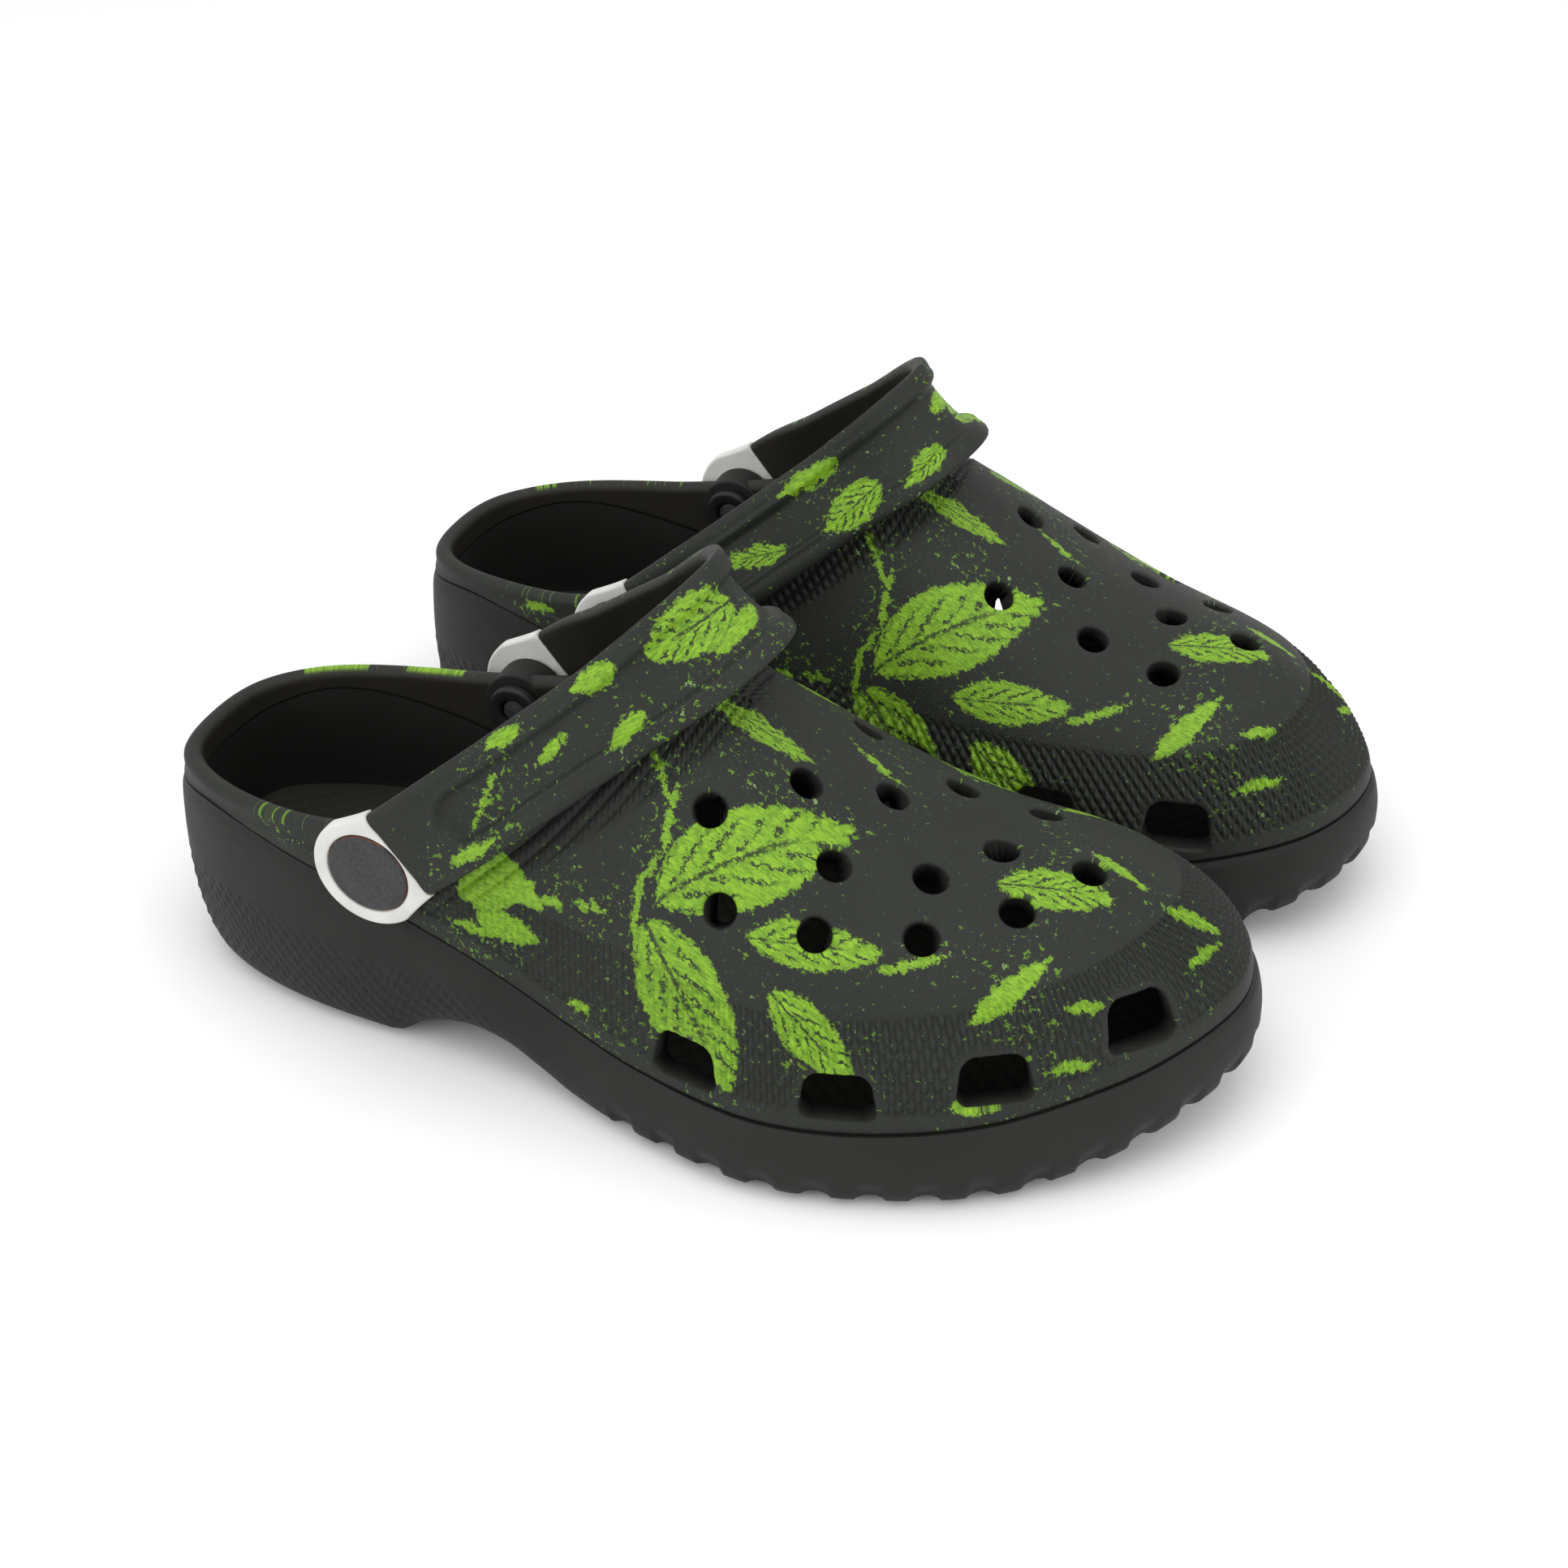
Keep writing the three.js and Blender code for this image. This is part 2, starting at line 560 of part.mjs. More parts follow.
// joins equal-sized point loops into a closed bar with flat ends
function sectionSolid(sections) {
  const positions = [];
  const put = (...points) => points.forEach((p) => positions.push(p.x, p.y, p.z));
  const size = sections[0].length;
  for (let i = 0; i < sections.length - 1; i += 1) {
    for (let k = 0; k < size; k += 1) {
      const next = (k + 1) % size;
      const [a, b, c, d] = [sections[i][k], sections[i][next], sections[i + 1][next], sections[i + 1][k]];
      put(a, b, c);
      put(a, c, d);
    }
  }
  const first = sections[0];
  const last = sections[sections.length - 1];
  const middle = (loop) => loop.reduce((sum, p) => sum.add(p), new THREE.Vector3()).divideScalar(size);
  for (let k = 0; k < size; k += 1) {
    const next = (k + 1) % size;
    put(middle(first), first[next], first[k]);
    put(middle(last), last[k], last[next]);
  }
  return closedGeometry(positions);
}

function tabDisc(rivet) {
  const disc = new THREE.CylinderGeometry(TAB_R, TAB_R, TAB_THICK, 32);
  disc.translate(0, rivet.side * (rivet.face + TAB_THICK / 2), 0);
  return disc;
}

function seamBox(from, to) {
  const box = new THREE.BoxGeometry(to - from, 400, 200);
  box.translate((from + to) / 2, 0, 0);
  return box;
}

function tip(geometry) {
  geometry.rotateY(THREE.MathUtils.degToRad(-STRAP_LIFT));
  geometry.translate(PIVOT_X, 0, PIVOT_Z);
  return geometry;
}

// the whole strap in one, before its plain ends are parted from the printed band
function strapBlank() {
  return RIVETS.reduce((solid, rivet) => solid.add(toSolid(tabDisc(rivet))), toSolid(strapBandGeometry()));
}

function strapBand() {
  return tip(toGeometry(cut(strapBlank(), [seamBox(-100, TAB_SEAM + SEAM / 2)])));
}

function strapEnd(rivet) {
  const bore = new THREE.CylinderGeometry(STEM_R + STEM_PLAY, STEM_R + STEM_PLAY, 40, 14);
  const seat = new THREE.CylinderGeometry(BUTTON_R + BUTTON_PLAY, BUTTON_R + BUTTON_PLAY, 20, 28);
  const middle = rivet.side * (rivet.face + TAB_THICK / 2);
  bore.translate(0, middle, 0);
  seat.translate(0, rivet.side * (rivet.face + TAB_THICK - BUTTON_THICK - SEAM + 10), 0);
  const otherSide = new THREE.BoxGeometry(400, 100, 200);
  otherSide.translate(0, rivet.side * -50, 0);
  const printed = seamBox(TAB_SEAM - SEAM / 2, STRAP_REACH + STRAP_WIDTH);
  return tip(toGeometry(cut(strapBlank(), [printed, otherSide, bore, seat])));
}

// ---------------------------------------------------------------- the pair
const MATERIALS = {
  upper: { color: 0x2b2d2b, roughness: 0.62, metalness: 0 },
  sole: { color: 0x20201e, roughness: 0.7, metalness: 0 },
  insole: { color: 0x24231f, roughness: 0.85, metalness: 0 },
  strap: { color: 0x2b2d2b, roughness: 0.6, metalness: 0 },
  tab: { color: 0xc8c8c3, roughness: 0.5, metalness: 0 },
  button: { color: 0x363636, roughness: 0.6, metalness: 0 },
  socket: { color: 0x1c1c1c, roughness: 0.5, metalness: 0 },
};

function clogParts() {
  const parts = [['sole', 'sole', sole()], ['upper', 'upper', upper()], ['insole', 'insole', insole()]];
  parts.push(['strap_band', 'strap', strapBand()]);
  for (const rivet of RIVETS) {
    parts.push([`strap_end_${rivet.name}`, 'tab', strapEnd(rivet)]);
    parts.push([`rivet_button_${rivet.name}`, 'button', rivetButton(rivet)]);
    parts.push([`rivet_socket_${rivet.name}`, 'socket', rivetSocket(rivet)]);
  }
  return parts;
}

// a copy for the other foot: mirrored across the clog's own middle, faces turned back outwards
function mirrored(geometry) {
  const copy = geometry.clone();
  copy.scale(1, -1, 1);
  const index = copy.index.array;
  for (let i = 0; i < index.length; i += 3) [index[i + 1], index[i + 2]] = [index[i + 2], index[i + 1]];
  return copy;
}

const group = new THREE.Group();
group.name = 'rubber_garden_clogs';
const parts = clogParts();
for (const foot of ['right', 'left']) {
  for (const [name, material, geometry] of parts) {
    const own = foot === 'right' ? geometry.clone() : mirrored(geometry);
    if (foot === 'left') own.translate(LEFT_SHIFT_X, LEFT_SHIFT_Y, 0);
    own.computeVertexNormals();
    const mesh = new THREE.Mesh(own, new THREE.MeshStandardMaterial(MATERIALS[material]));
    mesh.name = `${foot}_${name}`;
    group.add(mesh);
  }
}

// put the origin under the middle of the pair
const box = new THREE.Box3().setFromObject(group);
const centre = box.getCenter(new THREE.Vector3());
for (const mesh of group.children) mesh.geometry.translate(-centre.x, -centre.y, -box.min.z);

export default group;
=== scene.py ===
"""A pair of rubber garden clogs: printed uppers, black cup soles, and heel straps on snap rivets."""
import math

import bpy
import numpy as np
from mathutils import Matrix, Vector


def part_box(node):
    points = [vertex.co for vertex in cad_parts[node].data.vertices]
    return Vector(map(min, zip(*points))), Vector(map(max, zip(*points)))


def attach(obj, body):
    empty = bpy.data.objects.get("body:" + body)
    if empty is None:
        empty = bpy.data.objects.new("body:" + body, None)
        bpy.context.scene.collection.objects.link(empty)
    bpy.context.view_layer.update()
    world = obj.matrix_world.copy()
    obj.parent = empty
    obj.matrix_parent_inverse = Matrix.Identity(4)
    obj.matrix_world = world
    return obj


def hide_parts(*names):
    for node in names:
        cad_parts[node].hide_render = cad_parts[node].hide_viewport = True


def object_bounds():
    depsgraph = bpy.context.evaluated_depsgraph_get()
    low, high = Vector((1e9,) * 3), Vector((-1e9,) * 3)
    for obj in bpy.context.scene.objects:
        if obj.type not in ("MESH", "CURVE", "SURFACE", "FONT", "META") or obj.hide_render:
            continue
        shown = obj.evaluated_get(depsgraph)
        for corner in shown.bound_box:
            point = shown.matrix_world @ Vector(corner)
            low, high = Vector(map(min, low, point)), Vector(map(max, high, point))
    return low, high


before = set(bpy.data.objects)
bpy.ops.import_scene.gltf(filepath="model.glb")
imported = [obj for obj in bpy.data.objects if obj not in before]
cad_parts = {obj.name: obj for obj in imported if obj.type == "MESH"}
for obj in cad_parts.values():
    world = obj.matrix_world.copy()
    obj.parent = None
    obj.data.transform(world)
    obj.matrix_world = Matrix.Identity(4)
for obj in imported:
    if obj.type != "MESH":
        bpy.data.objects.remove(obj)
cad_low, cad_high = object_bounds()

# ---------------------------------------------------------------- sizes, in millimetres on the right foot
MM = 0.001
SEAM = 0.3
WALL = 5.0
PIVOT_X = 84.0
PIVOT_Z = 57.5
THROAT_X = 150.0
RIDGE_HEEL_X = 35.0
RIDGE_TOE_X = 236.0
HOLE_R = 4.2
HOLE_LIP = 0.9
VENT_LONG = 19.0
VENT_TALL = 12.0
VENT_TAPER = 2.0
VENT_ROUND = 3.3
VENT_LIP = 1.0
INSOLE_EDGE = WALL + 0.8
INSOLE_REST = 0.7
INSOLE_THICK = 3.6
LUG_PITCH = 13.0
NOTCH_R = 3.6
NOTCH_SUNK = 0.4         # notch axis below the ground
TREAD_FROM_X = 148.0
TAB_R = 15.0
TAB_THICK = 4.0
TAB_SEAM = 12.0
BUTTON_R = 10.8
BUTTON_THICK = 1.7
BUTTON_PLAY = 0.35
STEM_R = 3.6
STEM_PLAY = 0.3
SOCKET_R = 7.5
SOCKET_THICK = 3.0
PAD_R = 10.0
PAD_LINING = 10.0
STRAP_WIDTH = 25.0
STRAP_CROWN_WIDTH = 27.0
STRAP_THICK = 4.0
STRAP_ROUND = 1.5
STRAP_LIFT = math.radians(38)
STRAP_LEAN = math.radians(20)
CREST_LEAN = math.radians(7)
STRAP_REACH = 101.5
CHANNEL_FROM = 27.0
CHANNEL_WIDTH = 12.0
CHANNEL_DEPTH = 1.7
NUB_COLUMNS = 4          # stations of the ring from one stud to the next in its row
NUB_TALL = 5.0           # two rows of studs
NUB_HEIGHT = 0.9
PLAIN_PROUD = 0.7        # grained middle of the upper, above the studded band's ground
STRIP_PROUD = 0.6        # plain strip along the sole line
EDGE_BEAD = 0.3          # raised lines along the strap's edges
CHANNEL_BEAD = 0.5       # and round its channel
GROUND_INSET = 9.0       # where the sole wall turns under into the tread
DIMPLE_HEIGHT = 0.5      # texture low on the heel wall
SCALLOP_DEPTH = 1.6      # how far each tread notch bites into the sole wall
LUG_PROUD = 0.3
PADS_APART = 4           # studs from one pad under the sole to the next round the ring
PAD_ROWS = 6.5           # pads from the middle of the tread to its edge
PAD_DEPTH = 1.3
POD_PITCH = 6.0          # low pods on the footbed
POD_HEIGHT = 0.5

OUTLINE = [
    [6.5, 1], [10.5, -18.5], [28, -32.5], [55, -40.5], [92, -43.5], [125, -46.5], [157, -55.5],
    [191, -61.5], [226, -53.5], [253, -38.5], [275, -18.5], [287.5, 8], [279, 34], [251, 49],
    [212, 52], [171, 50], [132, 40.5], [94, 37], [58, 37], [28, 30.5], [11, 18.5],
]
# heights along the clog, as [x, z]
SOLE_LINE = [[0, 49], [30, 55], [65, 48.5], [100, 37.5], [135, 25.5], [170, 21.5], [205, 21],
             [240, 23], [265, 28], [290, 34]]
GROUND = [[0, 11], [10, 3], [24, 0], [79, 0], [88, 5.5], [97, 9.5], [106, 11], [115, 9.5],
          [125, 5], [136, 1], [146, 0], [242, 0], [292, 14]]
CROWN = [[0, 122], [60, 126], [100, 121], [130, 115], [150, 108.5], [170, 94.5], [190, 81],
         [205, 73.5], [225, 67.5], [250, 65.5], [272, 61], [292, 50]]
COLLAR = [[-5, 55.5], [25, 58], [60, 60], [85, 64.5], [105, 71], [122, 81], [136, 94], [150, 108.5]]
# how full the cross-section is, as [x, power]: 2 is an ellipse, more is boxier, less is peaked
ROUNDNESS = [[0, 2.3], [70, 2.2], [112, 1.6], [150, 1.6], [185, 2.05], [215, 2.3], [290, 2.3]]
FLOOR = [[0, 25], [30, 20], [90, 19], [125, 19.5], [160, 14.5], [200, 11.5], [245, 12], [290, 20]]
MIDLINE = [[0, 0], [100, -2], [180, -3], [230, -1], [260, 4], [288, 8]]
# how far the sole wall stands out, by share of its height
SOLE_BULGE = [[0, -3], [0.1, 1.2], [0.3, 3.2], [0.6, 3.4], [0.9, 2.2], [1, 0.8]]
HOLES = [
    [168.5, -32], [184.5, -13], [201, 0.5], [212.5, 19], [187, 21.5], [176, -46], [197, -27.5],
    [217, -17.5], [229, -1], [250, 1], [198, -42.5], [220, -32], [238, -17], [233, 22],
]
# side vents: [x, side, centre above the sole line]
VENTS = [[170, -1, 9.5], [208.5, -1, 10], [242.5, -1, 11.5], [271.5, -1, 12.5], [169, 1, 15],
         [209, 1, 11.5], [245, 1, 11]]
STRAP_OUTER_Y = -47.6
STRAP_INNER_Y = 42.2
STRAP_PATH = [
    [0, STRAP_OUTER_Y], [16, STRAP_OUTER_Y], [34, -43.5], [56, -36], [77, -27], [92, -16.5],
    [99.5, -6], [STRAP_REACH, 2], [98.5, 9.5], [90, 18.5], [74, 25.5], [54, 32.5], [33, 39],
    [16, STRAP_INNER_Y], [0, STRAP_INNER_Y],
]
# top edge of the studded band above the sole line, as [x, rise]
BAND_TOP = [[60, 14], [100, 19], [130, 26], [160, 30], [205, 29], [245, 29], [290, 33]]
RIM_STRIP = 5.6        # plain moulded strip along the sole line
THROAT_BAND = 20.5     # studs reach this far ahead of the strap's centre line

HEEL_STEPS = 190
TOE_STEPS = 200
FLANK_ROWS = 90
LINING_ROWS = 14
TREAD_ROWS = 27
BAND_STEPS = 240

# the print, on the unrolled upper: [root x, root y, tip x, tip y, half width], below 0 without veins
LEAVES = [
    [166, -64, 198, -17, 10.5],
    [164, -70, 197, -98, 12.5],
    [197, -67, 222, -75, 6.5],
    [188, -59, 216, -43, 5.6],
    [216.5, -48, 229, -35, -1.2],
    [232, -12, 258, -4, 5.6],
    [240, -47, 250, -25, -3.0],
    [160.5, -11, 184, -7, 3.6],
    [189, 10, 202, 6, -1.2],
    [104, -84, 130, -74, -6.0],
    [104, -70, 134, -79, -5.0],
    [110, -89, 133, -88, -4.0],
    [132, -77, 141, -75, -1.3],
    [143, -74, 153, -71.5, -1.1],
    [249, 8, 264, 4, -1.6],
    [270, 3, 285, 12, -2.2],
    [259, -33, 267, -27, -1.4],
    [264, -46, 274, -38, -1.5],
    [246, -67, 258, -60, -2.0],
    [281, -6, 286, 9, -1.2],
    [102, -93, 120, -92, -1.6],
    [145, -101, 154, -99, -1.4],
    [208, 34, 229, 44, 3.6],
    [200, 52, 176, 74, 5.0],
    [166, 44, 150, 66, 4.4],
    [236, 30, 252, 46, -3.0],
    [170, 22, 182, 34, 2.6],
    [128, 60, 108, 66, -3.4],
    [84, -70, 62, -78, -3.0],
    [46, -62, 30, -58, -2.2],
    [74, 60, 52, 66, -3.2],
    [36, 52, 26, 44, -2.0],
    [-12, 63, 26, 75, -3.6],
    [30, 77, 54, 79, -2.2],
    [30, -80, 44, -81, -1.4],
    [58, -82, 72, -81, -1.6],
]
STEMS = [
    [152, -30, 162, -41, 0.8],
    [162, -41, 163.5, -53, 0.8],
    [163.5, -53, 160, -62, 0.8],
    [160, -62, 162, -74, 0.9],
    [161.5, -37, 164, -50, 0.7],
    [166, -64, 172, -56, 0.7],
    [198, 52, 206, 36, 0.7],
    [206, 36, 214, 30, 0.7],
    [166, 44, 176, 40, 0.7],
]
STRAP_LEAVES = [
    [118, 3, 92, 6, 7.0],
    [124, -2, 105, -4, -2.6],
    [128, 6, 142, 9, 3.0],
    [147, 4, 166, 7, 5.4],
    [153, -7, 172, -8, -2.6],
    [86, 8, 73, 9.5, -2.8],
    [85, -4, 73, -6.5, -2.4],
    [58, 9, 47, 10, -2.0],
    [46, 4, 33, -4.5, -0.8],
    [178, 5, 196, -2, 3.0],
    [200, 7, 210, 8, -1.8],
    [66, 2, 56, 0, -1.5],
    [24, -8, 38, -9.5, -1.8],
    [214, -6, 224, -8, -1.6],
]


# ---------------------------------------------------------------- curves
def height_at(stations, x):
    """Cubic pieces through [x, z] stations, with harmonic mean slopes so that it never overshoots."""
    xs, zs = np.array(stations, float).T
    pitch = np.diff(zs) / np.diff(xs)
    before = np.concatenate([pitch[:1], pitch])
    after = np.concatenate([pitch, pitch[-1:]])
    product = before * after
    slope = np.where(product > 0, 2 * product / np.where(product > 0, before + after, 1), 0)
    x = np.clip(x, xs[0], xs[-1])
    i = np.clip(np.searchsorted(xs, x) - 1, 0, len(xs) - 2)
    step = xs[i + 1] - xs[i]
    s = (x - xs[i]) / step
    rise = slope[i] * step * s * (1 - s) ** 2 + slope[i + 1] * step * s * s * (s - 1)
    return zs[i] * (1 + 2 * s) * (1 - s) ** 2 + zs[i + 1] * s * s * (3 - 2 * s) + rise


def catmull_rom(points, samples, closed):
    """Uniform Catmull-Rom curve: each span blends four neighbouring points by the usual cubic weights."""
    p = np.array(points, float)
    if closed:
        p0, p1, p2, p3 = np.roll(p, 1, 0), p, np.roll(p, -1, 0), np.roll(p, -2, 0)
    else:
        p = np.vstack([2 * p[0] - p[1], p, 2 * p[-1] - p[-2]])
        p0, p1, p2, p3 = p[:-3], p[1:-2], p[2:-1], p[3:]
    t = np.linspace(0, 1, samples, endpoint=False)[None, :, None]
    p0, p1, p2, p3 = (q[:, None, :] for q in (p0, p1, p2, p3))
    curve = 0.5 * (2 * p1 + (p2 - p0) * t + (2 * p0 - 5 * p1 + 4 * p2 - p3) * t ** 2
                   + (3 * p1 - p0 - 3 * p2 + p3) * t ** 3)
    curve = curve.reshape(-1, p.shape[1])
    return curve if closed else np.vstack([curve, p[-2]])


def smooth(low, high, x):
    """Smooth step from 0 at low to 1 at high."""
    t = np.clip((x - low) / (high - low), 0, 1)
    return t * t * (3 - 2 * t)


def unit(vectors):
    """Each vector over its own length."""
    return vectors / np.maximum(np.linalg.norm(vectors, axis=-1, keepdims=True), 1e-12)


def walked(points):
    """Distance walked along a polyline up to each point."""
    return np.concatenate([[0], np.cumsum(np.linalg.norm(np.diff(points, axis=0), axis=1))])


# ---------------------------------------------------------------- plan of the clog
def plan():
    """Ring of stations round the sole line: the same x on both sides, spaced evenly along the edge."""
    dense = catmull_rom(OUTLINE, 100, closed=True)
    dense = np.roll(dense, -dense[:, 0].argmin(), axis=0)
    toe = dense[:, 0].argmax()
    outer = dense[:toe + 1]
    inner = np.vstack([dense[:1], dense[toe:][::-1]])
    heel_x, toe_x = dense[0, 0], dense[toe, 0]
    share = (THROAT_X - RIDGE_HEEL_X) / (RIDGE_TOE_X - RIDGE_HEEL_X)
    throat_x = heel_x + (toe_x - heel_x) * share
    probe = heel_x + (toe_x - heel_x) * (1 - np.cos(np.linspace(0, math.pi, 4000))) / 2
    length = sum(np.interp(probe, side[:, 0], walked(side)) for side in (outer, inner)) / 2
    at_throat = np.interp(throat_x, probe, length)
    xs = np.concatenate([
        np.interp(np.linspace(0, at_throat, HEEL_STEPS + 1), length, probe),
        np.interp(np.linspace(at_throat, length[-1], TOE_STEPS + 1)[1:], length, probe),
    ])
    xs[HEEL_STEPS] = throat_x
    outer_y = np.interp(xs, outer[:, 0], outer[:, 1])
    inner_y = np.interp(xs, inner[:, 0], inner[:, 1])
    outer_y[0], outer_y[-1] = dense[0, 1], dense[toe, 1]
    ring = np.vstack([
        np.column_stack([xs, outer_y]),
        np.column_stack([xs[1:-1], inner_y[1:-1]])[::-1],
    ])
    along = unit(np.roll(ring, -1, 0) - np.roll(ring, 1, 0))
    outward = np.column_stack([along[:, 1], -along[:, 0]])
    ridge_x = RIDGE_HEEL_X + (RIDGE_TOE_X - RIDGE_HEEL_X) * (ring[:, 0] - heel_x) / (toe_x - heel_x)
    ridge = np.column_stack([ridge_x, height_at(MIDLINE, ridge_x)])
    steps = np.linalg.norm(np.roll(ring, -1, 0) - ring, axis=1)
    distance = np.concatenate([[0], np.cumsum(steps)[:-1]])
    return ring, outward, ridge, distance


RING, OUTWARD, RIDGE, RING_DISTANCE = plan()
COUNT = len(RING)


def flank(angle, inset):
    """Superellipse from the sole line up to the ridge: share cos^(2/n) out, lift sin^(2/n) up."""
    power = 2 / height_at(ROUNDNESS, RING[:, 0])
    share = np.maximum(np.cos(angle), 0) ** power
    lift = np.sin(angle) ** power
    edge = RING - OUTWARD * inset
    at = RIDGE + (edge - RIDGE) * share[..., None]
    base = height_at(SOLE_LINE, RING[:, 0]) + SEAM / 2
    z = base + lift * (height_at(CROWN, at[..., 0]) - inset - base)
    return np.concatenate([at, z[..., None]], axis=-1)


def collar_angles():
    """Halving search for the angle where each flank meets the collar height; 90 degrees past the throat."""
    low = np.zeros(COUNT)
    high = np.full(COUNT, math.pi / 2)
    for _ in range(40):
        middle = (low + high) / 2
        at = flank(middle, 0)
        below = at[:, 2] < height_at(COLLAR, at[:, 0])
        low = np.where(below, middle, low)
        high = np.where(below, high, middle)
    station = np.minimum(np.arange(COUNT), COUNT - np.arange(COUNT))
    return np.where(station >= HEEL_STEPS, math.pi / 2, low)


COLLAR_ANGLE = collar_angles()


# ---------------------------------------------------------------- meshes
class Sheet:
    """Points with named values carried along, and the triangles between them."""

    def __init__(self, points, triangles, **values):
        self.points = points
        self.triangles = triangles
        self.values = values

    @staticmethod
    def grid(points, wrap, flip=False, keep=None, **values):
        """Two triangles for each cell of a rows by columns grid; wrap joins the last column to the first."""
        rows, columns = points.shape[:2]
        i = np.arange(rows * columns).reshape(rows, columns)
        ahead = np.roll(i, -1, axis=1)
        if not wrap:
            i, ahead = i[:, :-1], ahead[:, :-1]
        if keep is not None:
            i, ahead = i[:, keep], ahead[:, keep]
        a, b, c, d = i[:-1].ravel(), ahead[:-1].ravel(), ahead[1:].ravel(), i[1:].ravel()
        triangles = np.vstack([np.column_stack([a, b, c]), np.column_stack([a, c, d])])
        if flip:
            triangles = triangles[:, ::-1]
        flat = {name: np.broadcast_to(v, (rows, columns)).reshape(-1) for name, v in values.items()}
        return Sheet(points.reshape(-1, 3), triangles, **flat)

    @staticmethod
    def joined(sheets):
        """All the sheets in one; a value that a sheet lacks is 0 there."""
        names = sorted({name for sheet in sheets for name in sheet.values})
        shift = np.concatenate([[0], np.cumsum([len(s.points) for s in sheets])[:-1]])
        return Sheet(
            np.vstack([s.points for s in sheets]),
            np.vstack([s.triangles + k for s, k in zip(sheets, shift)]),
            **{n: np.concatenate([s.values.get(n, np.zeros(len(s.points))) for s in sheets]) for n in names},
        )

    def table(self):
        """Points and values side by side, so that one weighting serves both."""
        return np.column_stack([self.points, *self.values.values()])

    def cut_by(self, field):
        """Keeps where field is positive: triangles across its zero line are split where it crosses them."""
        inside = field < 0
        count = inside[self.triangles].sum(1)
        kept = [self.triangles[count == 0]]
        table = self.table()
        start = len(table)
        for lost in (1, 2):
            chosen = self.triangles[count == lost]
            odd = inside[chosen] if lost == 1 else ~inside[chosen]
            turn = odd.argmax(1)[:, None] + np.arange(3)
            a, b, c = np.take_along_axis(chosen, turn % 3, axis=1).T
            ends = []
            for other in (b, c):
                t = (field[a] / (field[a] - field[other]))[:, None]
                forward = (a < other)[:, None]
                low = np.where(forward, table[a], table[other])
                high = np.where(forward, table[other], table[a])
                share = np.where(forward, t, 1 - t)
                table = np.vstack([table, low + (high - low) * share])
                ends.append(start + np.arange(len(a)))
                start += len(a)
            if lost == 1:
                kept += [np.column_stack([ends[0], b, c]), np.column_stack([ends[0], c, ends[1]])]
            else:
                kept.append(np.column_stack([a, ends[0], ends[1]]))
        new = len(table) - len(self.points)
        triangles = np.vstack(kept)
        edge = np.zeros(len(table), bool)
        edge[len(table) - new:] = True
        used, where = np.unique(triangles, return_inverse=True)
        values = {n: table[used, 3 + k] for k, n in enumerate(self.values)}
        return Sheet(table[used, :3], where.reshape(-1, 3), **values), edge[used]


def lengths(points):
    """Length of each vector."""
    return np.linalg.norm(points, axis=-1)


def welded(points, triangles, reach=1e-3):
    """Merges points nearer than reach and drops the triangles that this flattens."""
    keys = np.round(points / reach).astype(np.int64)
    _, first, where = np.unique(keys, axis=0, return_index=True, return_inverse=True)
    triangles = where.reshape(-1)[triangles]
    a, b, c = triangles.T
    return first, triangles[(a != b) & (b != c) & (c != a)]


class Foot:
    """Where one clog stands: the left one is the right one mirrored across its own middle."""

    def __init__(self, name):
        self.name = name
        button_low, button_high = (np.array(v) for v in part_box(f"{name}_rivet_button_outer"))
        middle = (button_low + button_high) / 2
        self.side = 1.0 if name == "right" else -1.0
        outer_face = button_low[1] if name == "right" else button_high[1]
        reach = (STRAP_OUTER_Y - TAB_THICK / 2) * MM * self.side
        self.origin = np.array([middle[0] - PIVOT_X * MM, outer_face - reach, middle[2] - PIVOT_Z * MM])

    def place(self, points):
        """Right foot millimetres to the pair's own frame in metres."""
        return points * np.array([1, self.side, 1]) * MM + self.origin

    def piece(self, name, sheet, finish, body, slot, replaces=(), sharp=None):
        """One object from a sheet, welded and smooth, riding on its body."""
        first, triangles = welded(sheet.points, sheet.triangles)
        points = self.place(sheet.points[first])
        if self.side < 0:
            triangles = triangles[:, ::-1]
        mesh = bpy.data.meshes.new(f"{self.name}_{name}")
        mesh.from_pydata(points, [], triangles)
        mesh.shade_smooth()
        if sharp:
            mesh.set_sharp_from_angle(angle=math.radians(sharp))
        for label, value in sheet.values.items():
            layer = mesh.attributes.new(label, "FLOAT", "POINT")
            layer.data.foreach_set("value", value[first].astype(np.float32))
        mesh.materials.append(finish)
        made = bpy.data.objects.new(f"{self.name}_{name}", mesh)
        bpy.context.scene.collection.objects.link(made)
        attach(made, f"{self.name}_{body}")
        if replaces:
            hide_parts(*[f"{self.name}_{node}" for node in replaces])
        return made


# ---------------------------------------------------------------- openings in the upper
class Opening:
    """A straight hole along an axis, with its two own directions across it and its outline."""

    def __init__(self, at, out, right, reach, outline, lip):
        self.at, self.out, self.right = at, out, right
        self.up = np.cross(out, right)
        self.reach = reach
        self.outline = outline
        self.lip = lip

    def across(self, points):
        """Places across the hole and along its axis."""
        away = points - self.at
        return away @ self.right, away @ self.up, away @ self.out

    def distance(self, points):
        """Distance outside the outline, and a large number out of reach along the axis."""
        u, v, depth = self.across(points)
        near = (depth > self.reach[0]) & (depth < self.reach[1])
        return np.where(near, self.outline(u, v), 1e3)

    def away(self, points):
        """Direction straight out of the outline at each point, by small differences."""
        u, v, _ = self.across(points)
        e = 0.05
        du = self.outline(u + e, v) - self.outline(u - e, v)
        dv = self.outline(u, v + e) - self.outline(u, v - e)
        return unit(du[:, None] * self.right + dv[:, None] * self.up)


def round_outline(u, v):
    """Distance to a circle of the hole radius."""
    return np.hypot(u, v) - HOLE_R


